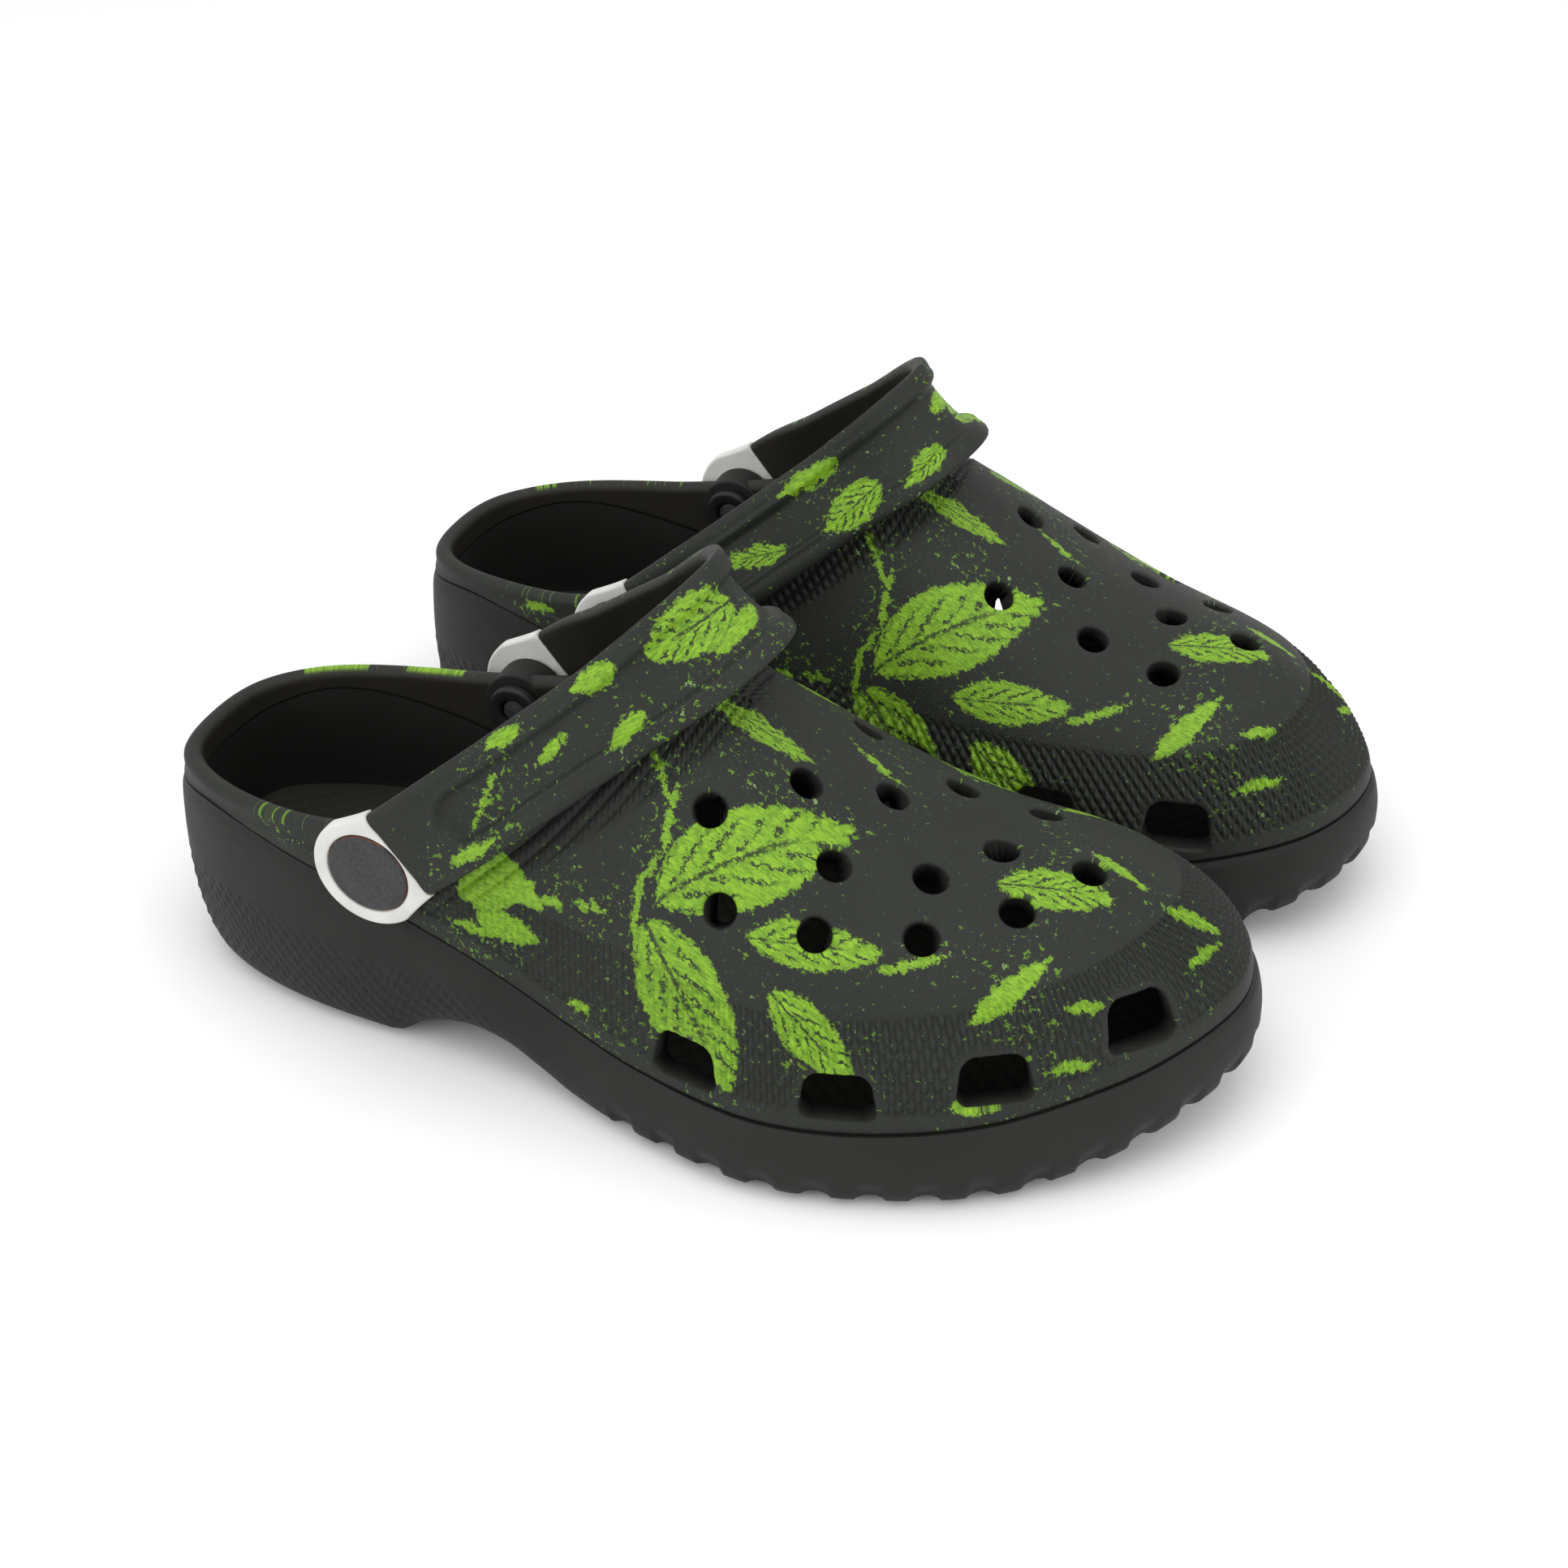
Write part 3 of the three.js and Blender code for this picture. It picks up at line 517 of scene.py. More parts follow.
def vent_outline(u, v):
    """Distance to a trapezoid narrower at the top, its corners rounded."""
    tall = VENT_TALL / 2
    lean = np.array([2 * tall, VENT_TAPER]) / math.hypot(2 * tall, VENT_TAPER)
    side = (np.abs(u) - VENT_LONG / 2) * lean[0] + (v + tall) * lean[1] + VENT_ROUND
    end = np.abs(v) - tall + VENT_ROUND
    outside = np.hypot(np.maximum(side, 0), np.maximum(end, 0))
    return outside + np.minimum(np.maximum(side, end), 0) - VENT_ROUND


def upper_openings(points, normals):
    """The round holes stand square to the surface; the side vents go straight in through the sole edge."""
    made = []
    flat_points, flat_normals = points.reshape(-1, 3), normals.reshape(-1, 3)
    for x, y in HOLES:
        k = np.hypot(flat_points[:, 0] - x, flat_points[:, 1] - y).argmin()
        out = flat_normals[k]
        right = unit(np.cross([0.0, 1.0, 0.0], out))
        at = np.array([x, y, flat_points[k, 2]])
        made.append(Opening(at, out, right, (-12, 8), round_outline, HOLE_LIP))
    half = COUNT // 2
    for x, side, lift in VENTS:
        order = np.arange(half + 1) if side < 0 else (COUNT - np.arange(half + 1)) % COUNT
        k = order[np.searchsorted(RING[order, 0], x)]
        out = np.array([*OUTWARD[k], 0.0])
        right = np.array([-out[1], out[0], 0.0])
        at = np.array([*RING[k], height_at(SOLE_LINE, np.array([x]))[0] + lift])
        made.append(Opening(at, out, right, (-19, 10), vent_outline, VENT_LIP))
    return made


def zipped(upper_loop, upper_angle, lower_loop, lower_angle):
    """Triangles between two closed loops, taking the next edge of whichever loop is behind in angle."""
    def halfway(angle):
        """Angle half way along each edge of the loop."""
        return angle + np.mod(np.roll(angle, -1) - angle, 2 * math.pi) / 2

    middle = np.concatenate([halfway(upper_angle), halfway(lower_angle)])
    is_upper = np.concatenate([np.ones(len(upper_loop), bool), np.zeros(len(lower_loop), bool)])
    is_upper = is_upper[np.argsort(middle, kind="stable")]
    i = np.cumsum(is_upper) - is_upper
    j = np.cumsum(~is_upper) - ~is_upper
    u, lo = len(upper_loop), len(lower_loop)
    top = np.column_stack([upper_loop[i % u], upper_loop[(i + 1) % u], lower_loop[j % lo]])
    foot = np.column_stack([lower_loop[j % lo], upper_loop[i % u], lower_loop[(j + 1) % lo]])
    return np.where(is_upper[:, None], top, foot)


def opening_walls(outside, outside_edge, lining, lining_edge, openings):
    """Rounded lip rings and a straight wall through to the lining at each opening."""
    shift = len(outside.points)
    points = [outside.points, lining.points]
    total = shift + len(lining.points)
    triangles = [outside.triangles, lining.triangles + shift]
    normals = np.column_stack([outside.values[k] for k in ("nx", "ny", "nz")])
    spread = np.stack([o.distance(outside.points[outside_edge]) for o in openings])
    lining_spread = np.stack([o.distance(lining.points[lining_edge]) for o in openings])
    source = [np.arange(shift)]
    for k, opening in enumerate(openings):
        loops = []
        for sheet, edge, gap in ((outside, outside_edge, spread), (lining, lining_edge, lining_spread)):
            loop = np.flatnonzero(edge)[gap.argmin(0) == k]
            u, v, _ = opening.across(sheet.points[loop])
            angle = np.arctan2(v, u)
            order = np.argsort(angle)
            loops.append((loop[order], angle[order]))
        (top, top_angle), (foot, foot_angle) = loops
        start = outside.points[top]
        normal = normals[top]
        away = opening.away(start)
        away = unit(away - (away * normal).sum(1, keepdims=True) * normal)
        previous = top
        for turn in np.radians([22.5, 45, 67.5, 90]):
            sunk = opening.lip * (1 - math.cos(turn))
            ring = start - away * opening.lip * math.sin(turn) - normal * sunk
            here = total + np.arange(len(top))
            ahead, behind = np.roll(here, -1), np.roll(previous, -1)
            triangles.append(np.column_stack([previous, behind, ahead]))
            triangles.append(np.column_stack([previous, ahead, here]))
            points.append(ring)
            source.append(top)
            total += len(top)
            previous = here
        triangles.append(zipped(previous, top_angle, foot + shift, foot_angle))
    source.insert(1, np.full(len(lining.points), -1))
    source = np.concatenate(source)
    values = {n: np.where(source >= 0, v[np.maximum(source, 0)], LINING_VALUE.get(n, 0))
              for n, v in outside.values.items()}
    # the lining keeps its painted shade mask, which turns it near black towards the toe
    values["dim"][shift:shift + len(lining.points)] = lining.values["dim"]
    return Sheet(np.vstack(points), np.vstack(triangles), **values)


# values on faces that carry no print: far outside every leaf and every speckle
LINING_VALUE = {"leaf_edge": 99.0, "bare": 1.0}


# ---------------------------------------------------------------- the print
def print_values(x, y, leaves, stems):
    """Distance to the nearest leaf or stem, and the place along and across that leaf.

    A leaf is |across| less than half width times sin(pi t^0.85)^0.7, with t from root to tip.
    """
    edge = np.full(x.shape, 99.0)
    along = np.zeros(x.shape)
    across = np.zeros(x.shape)
    for x0, y0, x1, y1, half in leaves:
        long = math.hypot(x1 - x0, y1 - y0)
        dx, dy = (x1 - x0) / long, (y1 - y0) / long
        t = ((x - x0) * dx + (y - y0) * dy) / long
        q = (y - y0) * dx - (x - x0) * dy
        inner = np.clip(t, 0, 1)
        wide = abs(half) * np.sin(math.pi * inner ** 0.85) ** 0.7
        distance = np.maximum(np.abs(q) - wide, (np.abs(t - 0.5) - 0.5) * long)
        closer = distance < edge
        edge = np.where(closer, distance, edge)
        along = np.where(closer, t if half > 0 else -1.0, along)
        across = np.where(closer, q / abs(half), across)
    for x0, y0, x1, y1, half in stems:
        span = (x1 - x0) ** 2 + (y1 - y0) ** 2
        t = np.clip(((x - x0) * (x1 - x0) + (y - y0) * (y1 - y0)) / span, 0, 1)
        distance = np.hypot(x - x0 - t * (x1 - x0), y - y0 - t * (y1 - y0)) - half
        closer = distance < edge
        edge = np.where(closer, distance, edge)
        along = np.where(closer, -1.0, along)
    return {"leaf_edge": edge, "leaf_along": along, "leaf_across": across, "print_x": x, "print_y": y}


def studs(a, b):
    """Studs at the corners and the middle of each unit square: |cos(pi(a + b)) cos(pi(a - b))|."""
    return np.abs(np.cos(math.pi * (a + b)) * np.cos(math.pi * (a - b)))


# ---------------------------------------------------------------- upper
def upper_sheet(foot):
    """Outside and lining of the upper from the sole line to the ridge, with a rolled collar rim."""
    even = np.arange(FLANK_ROWS + 1)[:, None] / FLANK_ROWS
    outside = flank(COLLAR_ANGLE * (0.8 * even + 0.2 * even ** 2), 0)
    lining = flank(COLLAR_ANGLE * np.arange(LINING_ROWS + 1)[:, None] / LINING_ROWS, WALL)

    rise = np.vstack([np.zeros(COUNT), np.cumsum(lengths(np.diff(outside, axis=0)), axis=0)])
    whole = flank(np.linspace(0, math.pi / 2, 60)[:, None] * np.ones(COUNT), 0)
    reach = lengths(np.diff(whole, axis=0)).sum(0)
    flat = RIDGE + unit(RING - RIDGE) * (reach - rise)[..., None]

    along = np.roll(outside, -1, axis=1) - np.roll(outside, 1, axis=1)
    normals = unit(np.cross(along, np.gradient(outside, axis=0)))
    normals[-1] = np.where((COLLAR_ANGLE > 1.57)[:, None], [0.0, 0.0, 1.0], normals[-1])
    openings = upper_openings(outside, normals)
    points = outside.reshape(-1, 3)
    gap = np.min([o.distance(points) for o in openings], axis=0).reshape(rise.shape)

    x, z = outside[..., 0], outside[..., 2]
    ahead = (x - PIVOT_X) * math.sin(STRAP_LIFT) - (z - PIVOT_Z) * math.cos(STRAP_LIFT)
    band_top = height_at(BAND_TOP, x)
    plain = smooth(band_top - 0.3, band_top + 0.9, rise) * smooth(THROAT_BAND - 0.3, THROAT_BAND + 0.9, ahead)
    strip = 1 - smooth(RIM_STRIP - 0.6, RIM_STRIP + 0.6, rise)
    to_rim = rise[-1] - rise
    near_rim = np.where(COLLAR_ANGLE > 1.57, 1.0, smooth(2.0, 5.0, to_rim))
    studded = (1 - plain) * (1 - strip) * near_rim * smooth(0.6, 2.2, gap) * smooth(84, 108, x)
    stud_a = (np.arange(COUNT) / NUB_COLUMNS) + 0 * rise
    stud_b = rise / NUB_TALL
    proud = PLAIN_PROUD * plain + STRIP_PROUD * strip + NUB_HEIGHT * (studs(stud_a, stud_b) - 0.3) * studded
    moved = outside + normals * (proud * near_rim)[..., None]
    moved[0] = outside[0]

    values = print_values(flat[..., 0], flat[..., 1] * foot.side, LEAVES, STEMS)
    values |= {"stud_a": stud_a, "stud_b": stud_b, "studded": studded}
    outer = Sheet.grid(
        moved, wrap=True, nx=normals[..., 0], ny=normals[..., 1], nz=normals[..., 2],
        bare=np.zeros(rise.shape), leather=plain, dim=np.zeros(rise.shape), **values)
    # painted shade on the lining: 0 at the heel, rising to 1 towards the closed toe, where the lining is
    # painted near black
    inner = Sheet.grid(lining, wrap=True, flip=True, dim=smooth(95, 150, lining[..., 0]))

    open_now = np.min([o.distance(outer.points) - o.lip for o in openings], axis=0)
    open_in = np.min([o.distance(inner.points) for o in openings], axis=0)
    outer, outer_edge = outer.cut_by(open_now)
    inner, inner_edge = inner.cut_by(open_in)
    shell = opening_walls(outer, outer_edge, inner, inner_edge, openings)

    rim = rim_sheet(moved[-1], lining[-1], {n: v[-1] for n, v in values.items()})
    base = Sheet.grid(np.stack([lining[0], outside[0]]), wrap=True, leaf_edge=99.0, bare=1.0)
    return Sheet.joined([shell, rim, base])


def rim_sheet(brim, lining, values):
    """Half round from the outside edge of the collar over to the lining, a little flattened."""
    loop = np.concatenate([np.arange(COUNT - HEEL_STEPS, COUNT), np.arange(HEEL_STEPS)])
    outer, inner = brim[loop], lining[loop]
    along = np.roll(outer, -1, 0) - np.roll(outer, 1, 0)
    across = inner - outer
    up = unit(np.cross(along, across))
    turns = np.radians(np.linspace(0, 180, 11))[:, None, None]
    points = outer + across * (1 - np.cos(turns)) / 2 + up * np.sin(turns) * WALL * 0.45
    fade = np.linspace(0, 1, 11)[:, None]
    carried = {n: np.broadcast_to(v[loop], (11, len(loop))) for n, v in values.items()}
    carried["bare"] = smooth(0.55, 0.8, fade) * np.ones(len(loop))
    return Sheet.grid(points, wrap=True, **carried)


# ---------------------------------------------------------------- sole and insole
def pulled(share, grow, height):
    """Ring pulled towards the ridge: share 1 is the sole line moved out by grow, share 0 the ridge line."""
    at = RIDGE + (RING + OUTWARD * grow - RIDGE) * share
    return np.column_stack([at, height(at)])


def ground(at):
    """Height of the tread under a place."""
    return height_at(GROUND, at[:, 0])


def floor_at(at):
    """Height of the cup floor at a place."""
    return height_at(FLOOR, at[:, 0])


def sole_sheet():
    """Rings from the middle of the tread out, up the bulging wall, over the edge and down into the cup."""
    line = height_at(SOLE_LINE, RING[:, 0]) - SEAM / 2
    bulge = 0.85 + 0.15 * smooth(110, 190, RING[:, 0])
    to_notch = np.abs(np.mod(RING_DISTANCE + LUG_PITCH / 2, LUG_PITCH) - LUG_PITCH / 2)
    at_toe = RING[:, 0] > TREAD_FROM_X
    arch = np.sqrt(np.maximum(1 - (to_notch / NOTCH_R) ** 2, 0)) * at_toe
    roof = arch * NOTCH_R - NOTCH_SUNK
    rows, dimples, lifts = [], [], []
    stud_a = np.arange(COUNT) / NUB_COLUMNS
    at_heel = 1 - smooth(95, 125, RING[:, 0])
    for share in np.linspace(0, 1, TREAD_ROWS):
        row = pulled(share, -GROUND_INSET, ground)
        pads = studs(stud_a / PADS_APART, share * PAD_ROWS)
        grip = smooth(0.02, 0.12, share) * (1 - smooth(0.9, 0.96, share))
        contact = 1 - smooth(0.2, 1.2, row[:, 2])
        row[:, 2] += PAD_DEPTH * grip * contact * (1 - smooth(0.18, 0.42, pads))
        rows.append(row)
        dimples.append(np.zeros(COUNT))
        lifts.append(np.zeros(COUNT))
    wall = catmull_rom([[-3, 0], *[[b, s] for s, b in SOLE_BULGE[1:]]], 6, closed=False)
    under = [[-8, 0], [-7.2, 0], [-6.9, 0], [-5, 0]]
    for out, share in [*under, *wall, [0.45, 1.0]]:
        grow = np.full(COUNT, out) if out < 0 else out * bulge
        low = height_at(GROUND, (RING + OUTWARD * grow[:, None])[:, 0])
        rise = share * (line - low)
        dimpled = smooth(0.08, 0.16, share) * (1 - smooth(0.5, 0.62, share)) * at_heel
        grow = grow + DIMPLE_HEIGHT * dimpled * (studs(stud_a, rise / NUB_TALL) - 0.5)
        grow = grow - (SCALLOP_DEPTH * arch - LUG_PROUD * at_toe) * (1 - smooth(0.22, 0.45, share))
        dimples.append(dimpled)
        lifts.append(rise)
        z = low + (np.maximum(rise, roof) if out > -7 else rise)
        rows.append(np.column_stack([RING + OUTWARD * grow[:, None], z]))
    wall_rows = len(rows)
    rows += [pulled(1, grow, lambda at: line) for grow in (0, -WALL + 0.8)]
    rows.append(pulled(1, -WALL + 0.2, lambda at: line - 0.2))
    for share in np.linspace(0.1, 1, 7):
        rows.append(pulled(1, -WALL, lambda at: line + (floor_at(at) + 2.5 - line) * share))
    rows.append(pulled(1, -WALL - 0.8, lambda at: floor_at(at) + 0.8))
    rows += [pulled(share, -WALL - 2.5, floor_at) for share in np.linspace(1, 0, 16)]
    cup = np.zeros((len(rows) - wall_rows, COUNT))
    dimples = np.vstack([*dimples, cup])
    stud_b = np.vstack([*lifts, cup]) / NUB_TALL
    return Sheet.grid(np.stack(rows), wrap=True, studded=dimples, stud_a=stud_a + cup[0], stud_b=stud_b)


def insole_sheet():
    """Flat underside, a rounded edge, and a top that lifts at the edge and carries low round pods."""
    def lift(extra):
        """Height of the footbed's underside plus extra, as a function of the place."""
        return lambda at: floor_at(at) + INSOLE_REST + extra

    rows = [pulled(share, -INSOLE_EDGE - 2.5, lift(0)) for share in np.linspace(0, 1, 10)]
    rows.append(pulled(1, -INSOLE_EDGE - 0.6, lift(0.9)))
    rows += [pulled(1, -INSOLE_EDGE, lift(extra)) for extra in (2.5, INSOLE_THICK - 0.7)]
    rows.append(pulled(1, -INSOLE_EDGE - 0.4, lift(INSOLE_THICK - 0.1)))
    for share in np.linspace(1, 0, 70):
        row = pulled(share, -INSOLE_EDGE - 0.9, lift(INSOLE_THICK))
        pods = studs(row[:, 0] / POD_PITCH, row[:, 1] / POD_PITCH)
        row[:, 2] += POD_HEIGHT * (pods - 0.6) * (1 - smooth(0.86, 0.95, share)) - 0.1 * (1 - share)
        rows.append(row)
    return Sheet.grid(np.stack(rows), wrap=True)


# ---------------------------------------------------------------- strap
def tipped(u, y, w):
    """From strap places, u out from the rivet axis and w across the strap, to places on the clog."""
    x = PIVOT_X + u * math.cos(STRAP_LIFT) - w * math.sin(STRAP_LIFT)
    z = PIVOT_Z + u * math.sin(STRAP_LIFT) + w * math.cos(STRAP_LIFT)
    return np.stack([x, y + 0 * x, z], axis=-1)


def strap_band_sheet(foot):
    """Rounded bar along the strap path: a sunk round-ended channel, and rims that rise at the crest."""
    path = catmull_rom(STRAP_PATH, 200, closed=False)
    start = TAB_SEAM + SEAM / 2
    distance = walked(path)
    beyond = path[:, 0] > start
    first, last = distance[beyond][0], distance[beyond][-1]
    steps = np.linspace(first, last, BAND_STEPS)
    u, y = (np.interp(steps, distance, path[:, k]) for k in range(2))
    along = unit(np.gradient(np.column_stack([u, y]), axis=0))
    out = np.column_stack([along[:, 1], -along[:, 0]])
    half = (STRAP_WIDTH + (STRAP_CROWN_WIDTH - STRAP_WIDTH) * smooth(70, STRAP_REACH, u)) / 2
    thick = STRAP_THICK / 2
    corner = STRAP_ROUND

    face = np.linspace(1, -1, 41)
    back = np.linspace(-1, 1, 13)
    arc = np.radians(np.linspace(90, -90, 9))[1:-1]
    flat_w = np.concatenate([face, -np.ones(7), back, np.ones(7)])
    bend_w = np.concatenate([face * 0, -np.cos(arc), back * 0, np.cos(arc[::-1])])
    bend_n = np.concatenate([face * 0 + 1, np.sin(arc), back * 0 - 1, np.sin(arc[::-1])])
    w = flat_w * (half[:, None] - corner) + bend_w * corner
    n = (thick - corner) * np.sign(np.round(bend_n, 6)) + bend_n * corner

    end = CHANNEL_FROM + CHANNEL_WIDTH / 2
    middle = (first + last) / 2
    past = np.maximum(np.abs(steps - middle) - (last - first) / 2 + end - start, 0)[:, None]
    slot = np.hypot(past, w) - CHANNEL_WIDTH / 2 - 1.5 * smooth(60, 95, u)[:, None]
    sunk = CHANNEL_DEPTH * (1 - smooth(-0.9, 0.5, slot))
    crest = smooth(72, 99, u)[:, None]
    edge = np.abs(w) / half[:, None]
    raised = crest * (1.9 * edge ** 3 - 0.5 * (1 - edge))
    bead = EDGE_BEAD * smooth(0.6, 0.75, edge) * (1 - smooth(0.8, 0.95, edge))
    bead = bead + CHANNEL_BEAD * np.exp(-((slot - 1.2) / 0.7) ** 2)
    n = n + (raised + np.where(bend_n > 0, bead - sunk, 0)) * np.where(bend_n > 0, 1, 0.55)
    lean = STRAP_LEAN * smooth(12, 45, u) - (STRAP_LEAN - CREST_LEAN) * smooth(70, STRAP_REACH, u)
    lean = lean[:, None]
    outward = n * np.cos(lean) - w * np.sin(lean)
    upward = w * np.cos(lean) + n * np.sin(lean)

    values = print_values(steps[:, None] * np.ones_like(w), w * foot.side, STRAP_LEAVES, [])
    bare = np.where(bend_n > -0.2, 0.0, 1.0) * np.ones_like(w)
    ring = tipped(u[:, None] + out[:, :1] * outward, y[:, None] + out[:, 1:] * outward, upward)
    caps = [np.repeat(ring[k].mean(0)[None], ring.shape[1], axis=0)[None] for k in (0, -1)]
    points = np.concatenate([caps[0], ring, caps[1]])

    def stretch(v):
        """Repeats the first and the last row for the end caps."""
        return np.concatenate([v[:1], v, v[-1:]])

    carried = {name: stretch(v) for name, v in values.items()}
    return Sheet.grid(points, wrap=True, bare=stretch(bare), leather=stretch(bare * 0 + 0.6), **carried)


def lathe(rivet, profile, corner=None, steps=72):
    """Profile of [radius, height off the clog] turned round the rivet axis; corner may change each radius."""
    side, _ = rivet
    turn = np.linspace(0, 2 * math.pi, steps, endpoint=False)
    radius, height = np.array(profile, float).T
    reach = radius[:, None] * np.ones(steps) if corner is None else corner(radius[:, None], turn)
    y = side * height[:, None] * np.ones(steps)
    points = tipped(reach * np.cos(turn), y, reach * np.sin(turn))
    return Sheet.grid(points, wrap=True, from_axis=reach, from_clog=height[:, None] * np.ones(steps))


def rounded(outer, low, high, bend, steps=5):
    """Profile points up the side of a disc of radius outer, its two edges rounded by bend."""
    turn = np.linspace(0, math.pi / 2, steps)
    foot = np.column_stack([outer - bend + bend * np.sin(turn), low + bend - bend * np.cos(turn)])
    head = np.column_stack([outer - bend + bend * np.cos(turn), high - bend + bend * np.sin(turn)])
    return [*foot.tolist(), *head.tolist()]


RIVETS = {
    "outer": (-1, -STRAP_OUTER_Y - TAB_THICK / 2),
    "inner": (1, STRAP_INNER_Y - TAB_THICK / 2),
}


def button_sheet(rivet):
    """Stem, then a low domed head with a rounded edge."""
    _, face = rivet
    top = face + TAB_THICK
    low = face - PAD_LINING - SOCKET_THICK + 0.8
    under = top - BUTTON_THICK
    dome = [[r, top + 0.12 * (1 - (r / BUTTON_R) ** 2)] for r in np.linspace(BUTTON_R - 0.55, 0, 14)]
    head = rounded(BUTTON_R, under, top, 0.5)
    return lathe(rivet, [[0, low], [STEM_R - 0.5, low], [STEM_R, low + 0.5], [STEM_R, under], *head, *dome])


def socket_sheet(rivet):
    """Washer on the inner end of the stem, with rounded edges and a countersunk bore."""
    _, face = rivet
    high = face - PAD_LINING - SEAM
    low = high - SOCKET_THICK
    bore = STEM_R + STEM_PLAY
    edge = rounded(SOCKET_R, low, high, 0.8)
    return lathe(rivet, [[bore, low + 0.5], [bore + 0.5, low], *edge, [bore, high], [bore, low + 0.5]])


def boss_sheet(rivet):
    """Flat round boss that carries the strap end clear of the upper."""
    _, face = rivet
    high = face - SEAM
    low = face - PAD_LINING + 0.05
    bore = STEM_R + STEM_PLAY
    return lathe(rivet, [[bore, low], *rounded(PAD_R, low, high, 0.7), [bore, high], [bore, low]])


def strap_end_sheet(rivet):
    """Plain end of the strap: a half round that runs on at the strap's width up to the printed band."""
    _, face = rivet
    seam = TAB_SEAM - SEAM / 2
    wide = STRAP_WIDTH / 2

    def outline(radius, turn):
        """Outside the counterbore, radii spread out to reach the end piece's own edge."""
        across = np.abs(np.sin(turn))
        ahead = np.cos(turn)
        swell = TAB_R + (wide - TAB_R) * np.clip(ahead * TAB_R / seam, 0, 1)
        to_side = swell / np.maximum(across, 1e-6)
        to_seam = seam / np.maximum(ahead, 1e-6)
        limit = np.where(ahead > 0, np.minimum(to_side, to_seam), TAB_R)
        inner = BUTTON_R + BUTTON_PLAY + 0.6
        grown = inner + (limit - inner) * (radius - inner) / (TAB_R - inner)
        return np.where(radius > inner, grown, np.minimum(radius, np.maximum(limit - 0.15, 9.2)))

    top = face + TAB_THICK
    seat = top - BUTTON_THICK - SEAM
    bore = STEM_R + STEM_PLAY
    ring = BUTTON_R + BUTTON_PLAY
    profile = [[bore, face], *rounded(TAB_R, face, top, 0.9), [ring + 0.6, top],
               [ring + 0.25, top - 0.1], [ring, top - 0.4], [ring, seat], [bore, seat], [bore, face]]
    return lathe(rivet, profile, corner=outline, steps=144)


# ---------------------------------------------------------------- finishes
def paint(red, green, blue):
    """Linear colour from 0 to 255 screen values."""
    def linear(v):
        v /= 255
        return v / 12.92 if v <= 0.04045 else ((v + 0.055) / 1.055) ** 2.4
    return (linear(red), linear(green), linear(blue), 1.0)


class Wire:
    """An output of a node; sums and products of wires add Math nodes."""

    def __init__(self, tree, socket):
        self.tree, self.socket = tree, socket

    def maths(self, operation, *values):
        """A Math node fed with the values."""
        return self.tree.node("ShaderNodeMath", {"operation": operation}, *values)

    def __add__(self, other):
        return self.maths("ADD", self, other)

    def __radd__(self, other):
        return self.maths("ADD", other, self)

    def __sub__(self, other):
        return self.maths("SUBTRACT", self, other)

    def __rsub__(self, other):
        return self.maths("SUBTRACT", other, self)

    def __mul__(self, other):
        return self.maths("MULTIPLY", self, other)

    def __rmul__(self, other):
        return self.maths("MULTIPLY", other, self)

    def __truediv__(self, other):
        return self.maths("DIVIDE", self, other)

    def __abs__(self):
        return self.maths("ABSOLUTE", self)

    def __mod__(self, other):
        return self.maths("FLOORED_MODULO", self, other)

    def step(self, low, high):
        """Smooth step from 0 at low to 1 at high, or the other way down if low is above high."""
        down = low > high
        first, last = (1.0, 0.0) if down else (0.0, 1.0)
        low, high = min(low, high), max(low, high)
        settings = {"interpolation_type": "SMOOTHSTEP", "clamp": True}
        return self.tree.node("ShaderNodeMapRange", settings, self, low, high, first, last)

    def cosine(self):
        return self.tree.node("ShaderNodeMath", {"operation": "COSINE"}, self)

    def least(self, other):
        return self.maths("MINIMUM", self, other)

    def most(self, other):
        return self.maths("MAXIMUM", self, other)


SHEEN = 0.28            # rubber and foam reflect less than bare plastic


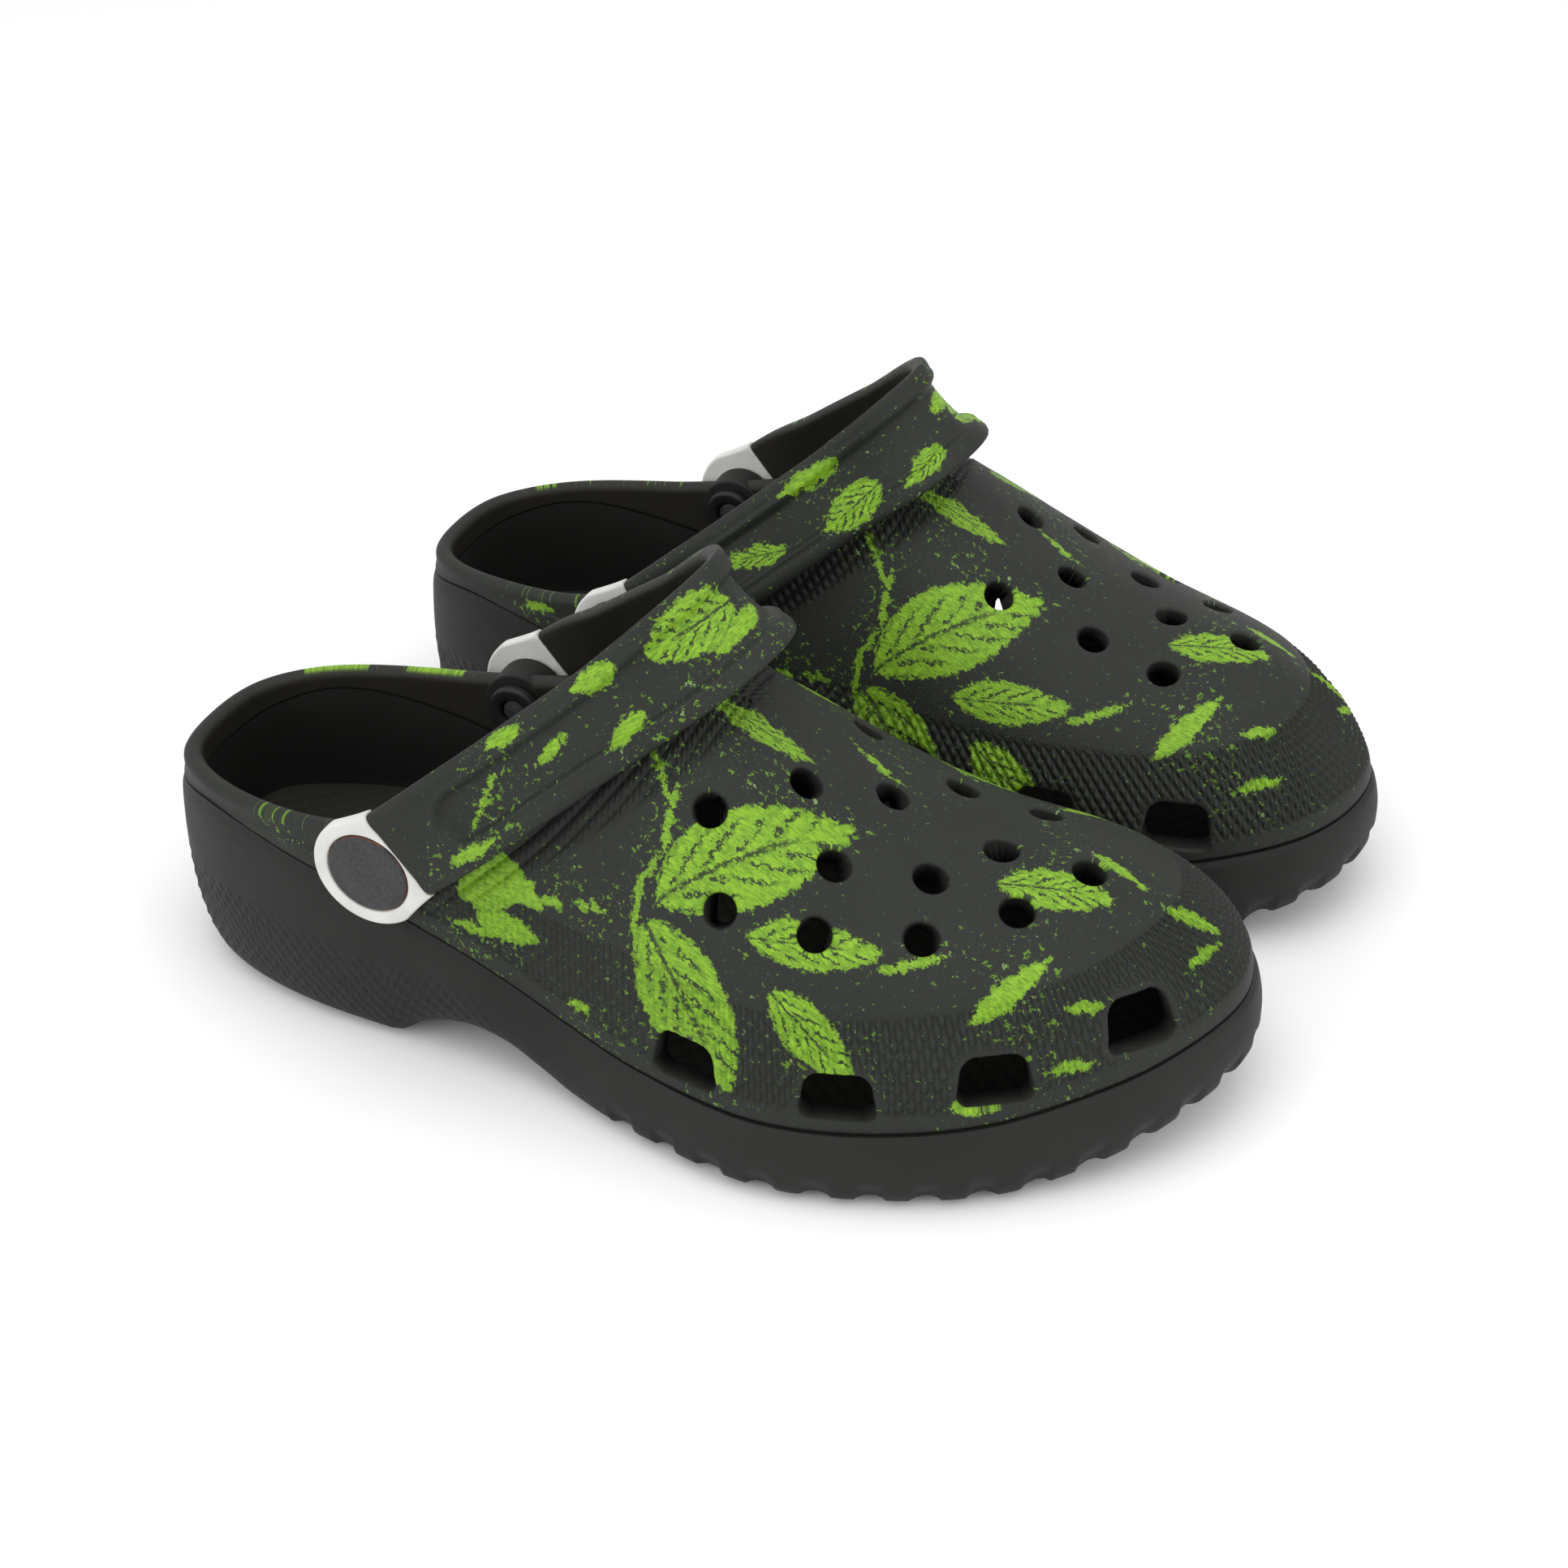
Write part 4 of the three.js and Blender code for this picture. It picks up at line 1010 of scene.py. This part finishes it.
class Finish:
    """A material built from wires."""

    def __init__(self, name):
        self.material = bpy.data.materials.new(name)
        self.material.use_nodes = True
        self.nodes = self.material.node_tree.nodes
        self.links = self.material.node_tree.links
        self.nodes.clear()
        self.surface = self.nodes.new("ShaderNodeBsdfPrincipled")
        self.surface.inputs["Specular IOR Level"].default_value = SHEEN
        output = self.nodes.new("ShaderNodeOutputMaterial")
        self.links.new(self.surface.outputs["BSDF"], output.inputs["Surface"])

    def node(self, kind, settings, *values, output=0, **named):
        """Adds a node, sets it up, then fills its inputs in order or by name with numbers or wires."""
        made = self.nodes.new(kind)
        for key, value in settings.items():
            setattr(made, key, value)
        for place, value in [*enumerate(values), *named.items()]:
            self.fill(made.inputs[place], value)
        return Wire(self, made.outputs[output])

    def fill(self, socket, value):
        """Links a wire, or sets a number or a colour."""
        if isinstance(value, Wire):
            self.links.new(value.socket, socket)
        elif value is not None:
            socket.default_value = value

    def given(self, name):
        """A value carried by the piece's own points."""
        return self.node("ShaderNodeAttribute", {"attribute_name": name}, output="Fac")

    def place(self):
        """The point's own place on its piece, in metres."""
        return self.node("ShaderNodeTexCoord", {}, output="Object")

    def flat_place(self, x, y):
        """A flat place from two wires."""
        return self.node("ShaderNodeCombineXYZ", {}, x, y, 0.0)

    def noise(self, where, scale, detail=2.0, roughness=0.5):
        """Soft noise from 0 to 1."""
        sockets = {"Vector": where, "Scale": scale, "Detail": detail, "Roughness": roughness}
        return self.node("ShaderNodeTexNoise", {}, **sockets)

    def cells(self, where, scale, feature):
        """Distance inside the cells of a Voronoi pattern."""
        sockets = {"Vector": where, "Scale": scale}
        return self.node("ShaderNodeTexVoronoi", {"feature": feature}, output="Distance", **sockets)

    def mix(self, share, first, second):
        """Colour that goes from first to second as share goes from 0 to 1."""
        made = self.nodes.new("ShaderNodeMix")
        made.data_type = "RGBA"
        self.fill(made.inputs["Factor"], share)
        self.fill(made.inputs[6], first)
        self.fill(made.inputs[7], second)
        return Wire(self, made.outputs[2])

    def stud_height(self):
        """The same staggered studs as on the piece's own surface, sharper than its points can show."""
        a, b = self.given("stud_a") * math.pi, self.given("stud_b") * math.pi
        return abs((a + b).cosine() * (a - b).cosine()) * self.given("studded")

    def coat(self, **values):
        """Sets the surface's own sockets by name."""
        for name, value in values.items():
            self.fill(self.surface.inputs[name.replace("_", " ").title()], value)
        return self

    def raised(self, height, distance, strength=1.0):
        """Bumps the surface by a height in metres."""
        normal = self.node("ShaderNodeBump", {}, Strength=strength, Distance=distance, Height=height)
        self.fill(self.surface.inputs["Normal"], normal)
        return self


CHARCOAL = paint(37, 40, 36)
CHARCOAL_DEEP = paint(28, 31, 27)
LEAF_BRIGHT = paint(132, 176, 40)
LEAF_MIDDLE = paint(92, 132, 28)
LEAF_SHADE = paint(48, 76, 20)
LINING_DARK = paint(34, 32, 27)
# near black painted shade for the lining deep in the toe
PAINTED_SHADE_BLACK = paint(9, 9, 9)


def printed_rubber(name):
    """Charcoal foam rubber with a worn leaf print: ragged leaves, dark veins, flecks in drifts, grain."""
    f = Finish(name)
    x, y = f.given("print_x"), f.given("print_y")
    where = f.flat_place(x, y)
    printed = 1.0 - f.given("bare")
    edge, along, across = f.given("leaf_edge"), f.given("leaf_along"), f.given("leaf_across")

    ragged = f.noise(where, 0.42, 5.0, 0.65)
    fine = f.noise(where, 1.5, 3.0, 0.6)
    leaf = (edge + (ragged - 0.5) * 7.0 + (fine - 0.5) * 1.8).step(0.35, -0.35)

    side = abs(across)
    has_veins = along.step(-0.5, -0.4)
    bent = side + (ragged - 0.5) * 0.5
    rib = (bent + (fine - 0.5) * 0.1).step(0.1, 0.03) * along.step(0.8, 0.6) * ragged.step(0.4, 0.5)
    wave = (along * 6.0 - side * 2.4 + ragged * 2.6) % 1.0
    vein = wave.step(0.58, 0.68) * wave.step(0.99, 0.92) * side.step(0.08, 0.16) * side.step(0.8, 0.6)
    vein = vein * ragged.step(0.44, 0.52)
    cut = (rib.most(vein) * has_veins).least(1.0)

    drift = f.noise(where, 0.035, 2.0, 0.5).step(0.42, 0.66)
    close = edge.step(22.0, 2.0)
    fleck_size = f.noise(where, 0.5, 3.0, 0.7)
    fleck = (fleck_size + drift * 0.07 + close * 0.08).step(0.725, 0.75)
    speck = (f.noise(where, 1.1, 2.0, 0.6) + drift * 0.06 + close * 0.05).step(0.76, 0.79)
    pale = f.noise(where, 0.3, 1.0, 0.5).step(0.62, 0.66)

    stroke = f.node("ShaderNodeMapping", {}, where, (0, 0, 0), (0, 0, 0.7), (0.5, 2.4, 1.0))
    weave = f.noise(stroke, 0.9, 3.0, 0.6)
    green = f.mix((weave * 0.6 + ragged * 0.4).step(0.38, 0.6), LEAF_MIDDLE, LEAF_BRIGHT)
    green = f.mix((cut * 0.85).most(fine.step(0.36, 0.28) * 0.5), green, LEAF_SHADE)
    green = f.mix(edge.step(-1.2, 0.6) * fine.step(0.45, 0.6) * 0.55, green, LEAF_SHADE)
    rubber = f.mix(f.noise(where, 0.06, 3.0, 0.5), CHARCOAL_DEEP, CHARCOAL)
    stain = f.noise(where, 0.22, 4.0, 0.7).step(0.6, 0.8) * close * 0.55
    rubber = f.mix(stain, rubber, LEAF_SHADE)
    fleck_green = f.mix(pale, LEAF_MIDDLE, paint(120, 150, 92))
    shown = leaf * (1.0 - cut * 0.8) * printed
    flecks = fleck.most(speck * 0.8) * printed
    colour = f.mix(flecks * 0.85, rubber, fleck_green)
    colour = f.mix(shown, colour, green)
    # bare faces take the lining's own dark grey-brown, with painted shade that turns it near black towards
    # the toe
    colour = f.mix(1.0 - printed, colour, f.mix(f.given("dim"), LINING_DARK, PAINTED_SHADE_BLACK))

    pores = f.cells(where, 1.15, "DISTANCE_TO_EDGE")
    grain = pores.step(0.0, 0.35) * f.given("leather") + f.noise(where, 2.2, 3.0, 0.6) * 0.35
    f.raised(grain + shown * 0.25 + f.stud_height() * 7.0, 0.00009, 0.8)
    return f.coat(base_color=colour, roughness=0.6 - shown * 0.08 + (fine - 0.5) * 0.1).material


def moulded_rubber(name, light, dark, rough):
    """Plain foam rubber: cloudy charcoal, fine pores, and a duller bloom in patches."""
    f = Finish(name)
    place = f.place()
    cloud = f.noise(place, 22.0, 4.0, 0.55)
    pores = f.noise(place, 1700.0, 3.0, 0.6)
    scuff = f.noise(place, 120.0, 5.0, 0.7)
    colour = f.mix(cloud.step(0.3, 0.7), dark, light)
    f.raised(pores + scuff * 0.6 + f.stud_height() * 6.0, 0.00007, 0.7)
    f.coat(base_color=colour, roughness=rough + (scuff - 0.5) * 0.14 + (pores - 0.5) * 0.08)
    return f.material


def plain_end_rubber():
    """Off-white moulded rubber with a faint grey bloom and fine pores."""
    f = Finish("plain_end_rubber")
    place = f.place()
    cloud = f.noise(place, 90.0, 4.0, 0.6)
    pores = f.noise(place, 2200.0, 2.0, 0.5)
    colour = f.mix(cloud.step(0.25, 0.75), paint(198, 198, 193), paint(212, 212, 208))
    f.raised(pores, 0.00004, 0.6)
    return f.coat(base_color=colour, roughness=0.5 + (cloud - 0.5) * 0.12).material


def grained_button():
    """Dark grey button with a pebbled face and a brown ring of worn finish at its edge."""
    f = Finish("grained_button")
    place = f.place()
    pebble = f.cells(place, 1500.0, "SMOOTH_F1")
    cloud = f.noise(place, 180.0, 4.0, 0.6)
    rim = f.given("from_axis").step(BUTTON_R - 0.28, BUTTON_R - 0.05)
    grey = f.mix(cloud.step(0.3, 0.7), paint(42, 42, 43), paint(54, 54, 55))
    grey = f.mix(pebble.step(0.25, 0.6) * 0.5, grey, paint(70, 70, 72))
    colour = f.mix(rim * cloud.step(0.35, 0.6), grey, paint(120, 74, 42))
    f.raised(pebble, 0.00018, 0.9)
    return f.coat(base_color=colour, roughness=0.5 + pebble * 0.2, metallic=rim * 0.3).material


PRINTED = printed_rubber("printed_rubber")
SOLE_RUBBER = moulded_rubber("sole_rubber", paint(29, 29, 27), paint(23, 23, 21), 0.62)
INSOLE_FOAM = moulded_rubber("insole_foam", paint(38, 36, 31), paint(30, 29, 25), 0.8)
SOCKET_PLASTIC = moulded_rubber("socket_plastic", paint(34, 34, 33), paint(26, 26, 26), 0.45)
PLAIN_END = plain_end_rubber()
BUTTON = grained_button()


# ---------------------------------------------------------------- the pair
def build_clog(foot):
    """All twelve visible pieces of one clog, each in place of its own part."""
    foot.piece("upper_shell", upper_sheet(foot), PRINTED, "clog", "upper", ["upper"])
    foot.piece("cup_sole", sole_sheet(), SOLE_RUBBER, "clog", "sole", ["sole"], sharp=50)
    foot.piece("footbed", insole_sheet(), INSOLE_FOAM, "clog", "insole", ["insole"])
    foot.piece("printed_strap", strap_band_sheet(foot), PRINTED, "strap", "strap", ["strap_band"], sharp=60)
    for name, rivet in RIVETS.items():
        foot.piece(f"plain_end_{name}", strap_end_sheet(rivet), PLAIN_END, "strap", "strap_end",
                   [f"strap_end_{name}"], sharp=50)
        foot.piece(f"button_{name}", button_sheet(rivet), BUTTON, "clog", "button",
                   [f"rivet_button_{name}"], sharp=50)
        foot.piece(f"socket_{name}", socket_sheet(rivet), SOCKET_PLASTIC, "clog", "socket",
                   [f"rivet_socket_{name}"], sharp=50)
        foot.piece(f"boss_{name}", boss_sheet(rivet), SOLE_RUBBER, "clog", "upper", sharp=50)


for name in ("right", "left"):
    build_clog(Foot(name))


# ---------------------------------------------------------------- floor, light and camera
def floor_and_light():
    """Pale floor, a pale room all round, one broad soft light overhead and a weaker one in front."""
    bpy.ops.mesh.primitive_plane_add(size=8, location=(0, 0, cad_low.z))
    floor = bpy.context.active_object
    floor.name = "floor"
    f = Finish("pale_floor")
    f.coat(base_color=(0.9, 0.9, 0.9, 1), roughness=0.9)
    floor.data.materials.append(f.material)
    world = bpy.data.worlds.new("pale_room")
    world.use_nodes = True
    sky = world.node_tree.nodes["Background"]
    sky.inputs["Color"].default_value = (1, 1, 1, 1)
    sky.inputs["Strength"].default_value = 0.85
    bpy.context.scene.world = world
    for label, place, size, power in (
        ("overhead", (0.1, -0.2, 1.6), 1.6, 11),
        ("front", (-0.9, -1.3, 0.9), 1.0, 6),
        ("right_side", (1.3, -0.3, 0.7), 0.8, 4),
    ):
        lamp = bpy.data.lights.new(label, "AREA")
        lamp.energy = power
        lamp.size = size
        made = bpy.data.objects.new(label, lamp)
        made.location = place
        made.rotation_euler = (-Vector(place)).to_track_quat("-Z", "Y").to_euler()
        bpy.context.scene.collection.objects.link(made)


CAMERA_AZIMUTH = math.radians(23.2)
CAMERA_HEIGHT = math.radians(34.2)
CAMERA_ROLL = math.radians(-1.9)
CAMERA_DISTANCE = 0.7755
CAMERA_TARGET = Vector((-0.0424, 0.0897, -0.0367))


def stand_camera():
    """Camera looking back along its azimuth and height at the target, rolled a little."""
    azimuth, height, roll = CAMERA_AZIMUTH, CAMERA_HEIGHT, CAMERA_ROLL
    level = math.cos(height)
    back = Vector((math.sin(azimuth) * level, -math.cos(azimuth) * level, math.sin(height)))
    right = Vector((math.cos(azimuth), math.sin(azimuth), 0))
    up = back.cross(right)
    turned_right = right * math.cos(roll) + up * math.sin(roll)
    turned_up = up * math.cos(roll) - right * math.sin(roll)
    camera = bpy.data.objects.new("camera", bpy.data.cameras.new("camera"))
    camera.data.lens = 55.05
    camera.matrix_world = Matrix.Translation(CAMERA_TARGET + back * CAMERA_DISTANCE) @ Matrix(
        (turned_right, turned_up, back)).transposed().to_4x4()
    bpy.context.scene.collection.objects.link(camera)
    bpy.context.scene.camera = camera


floor_and_light()
stand_camera()
bpy.context.scene.view_settings.view_transform = "Standard"
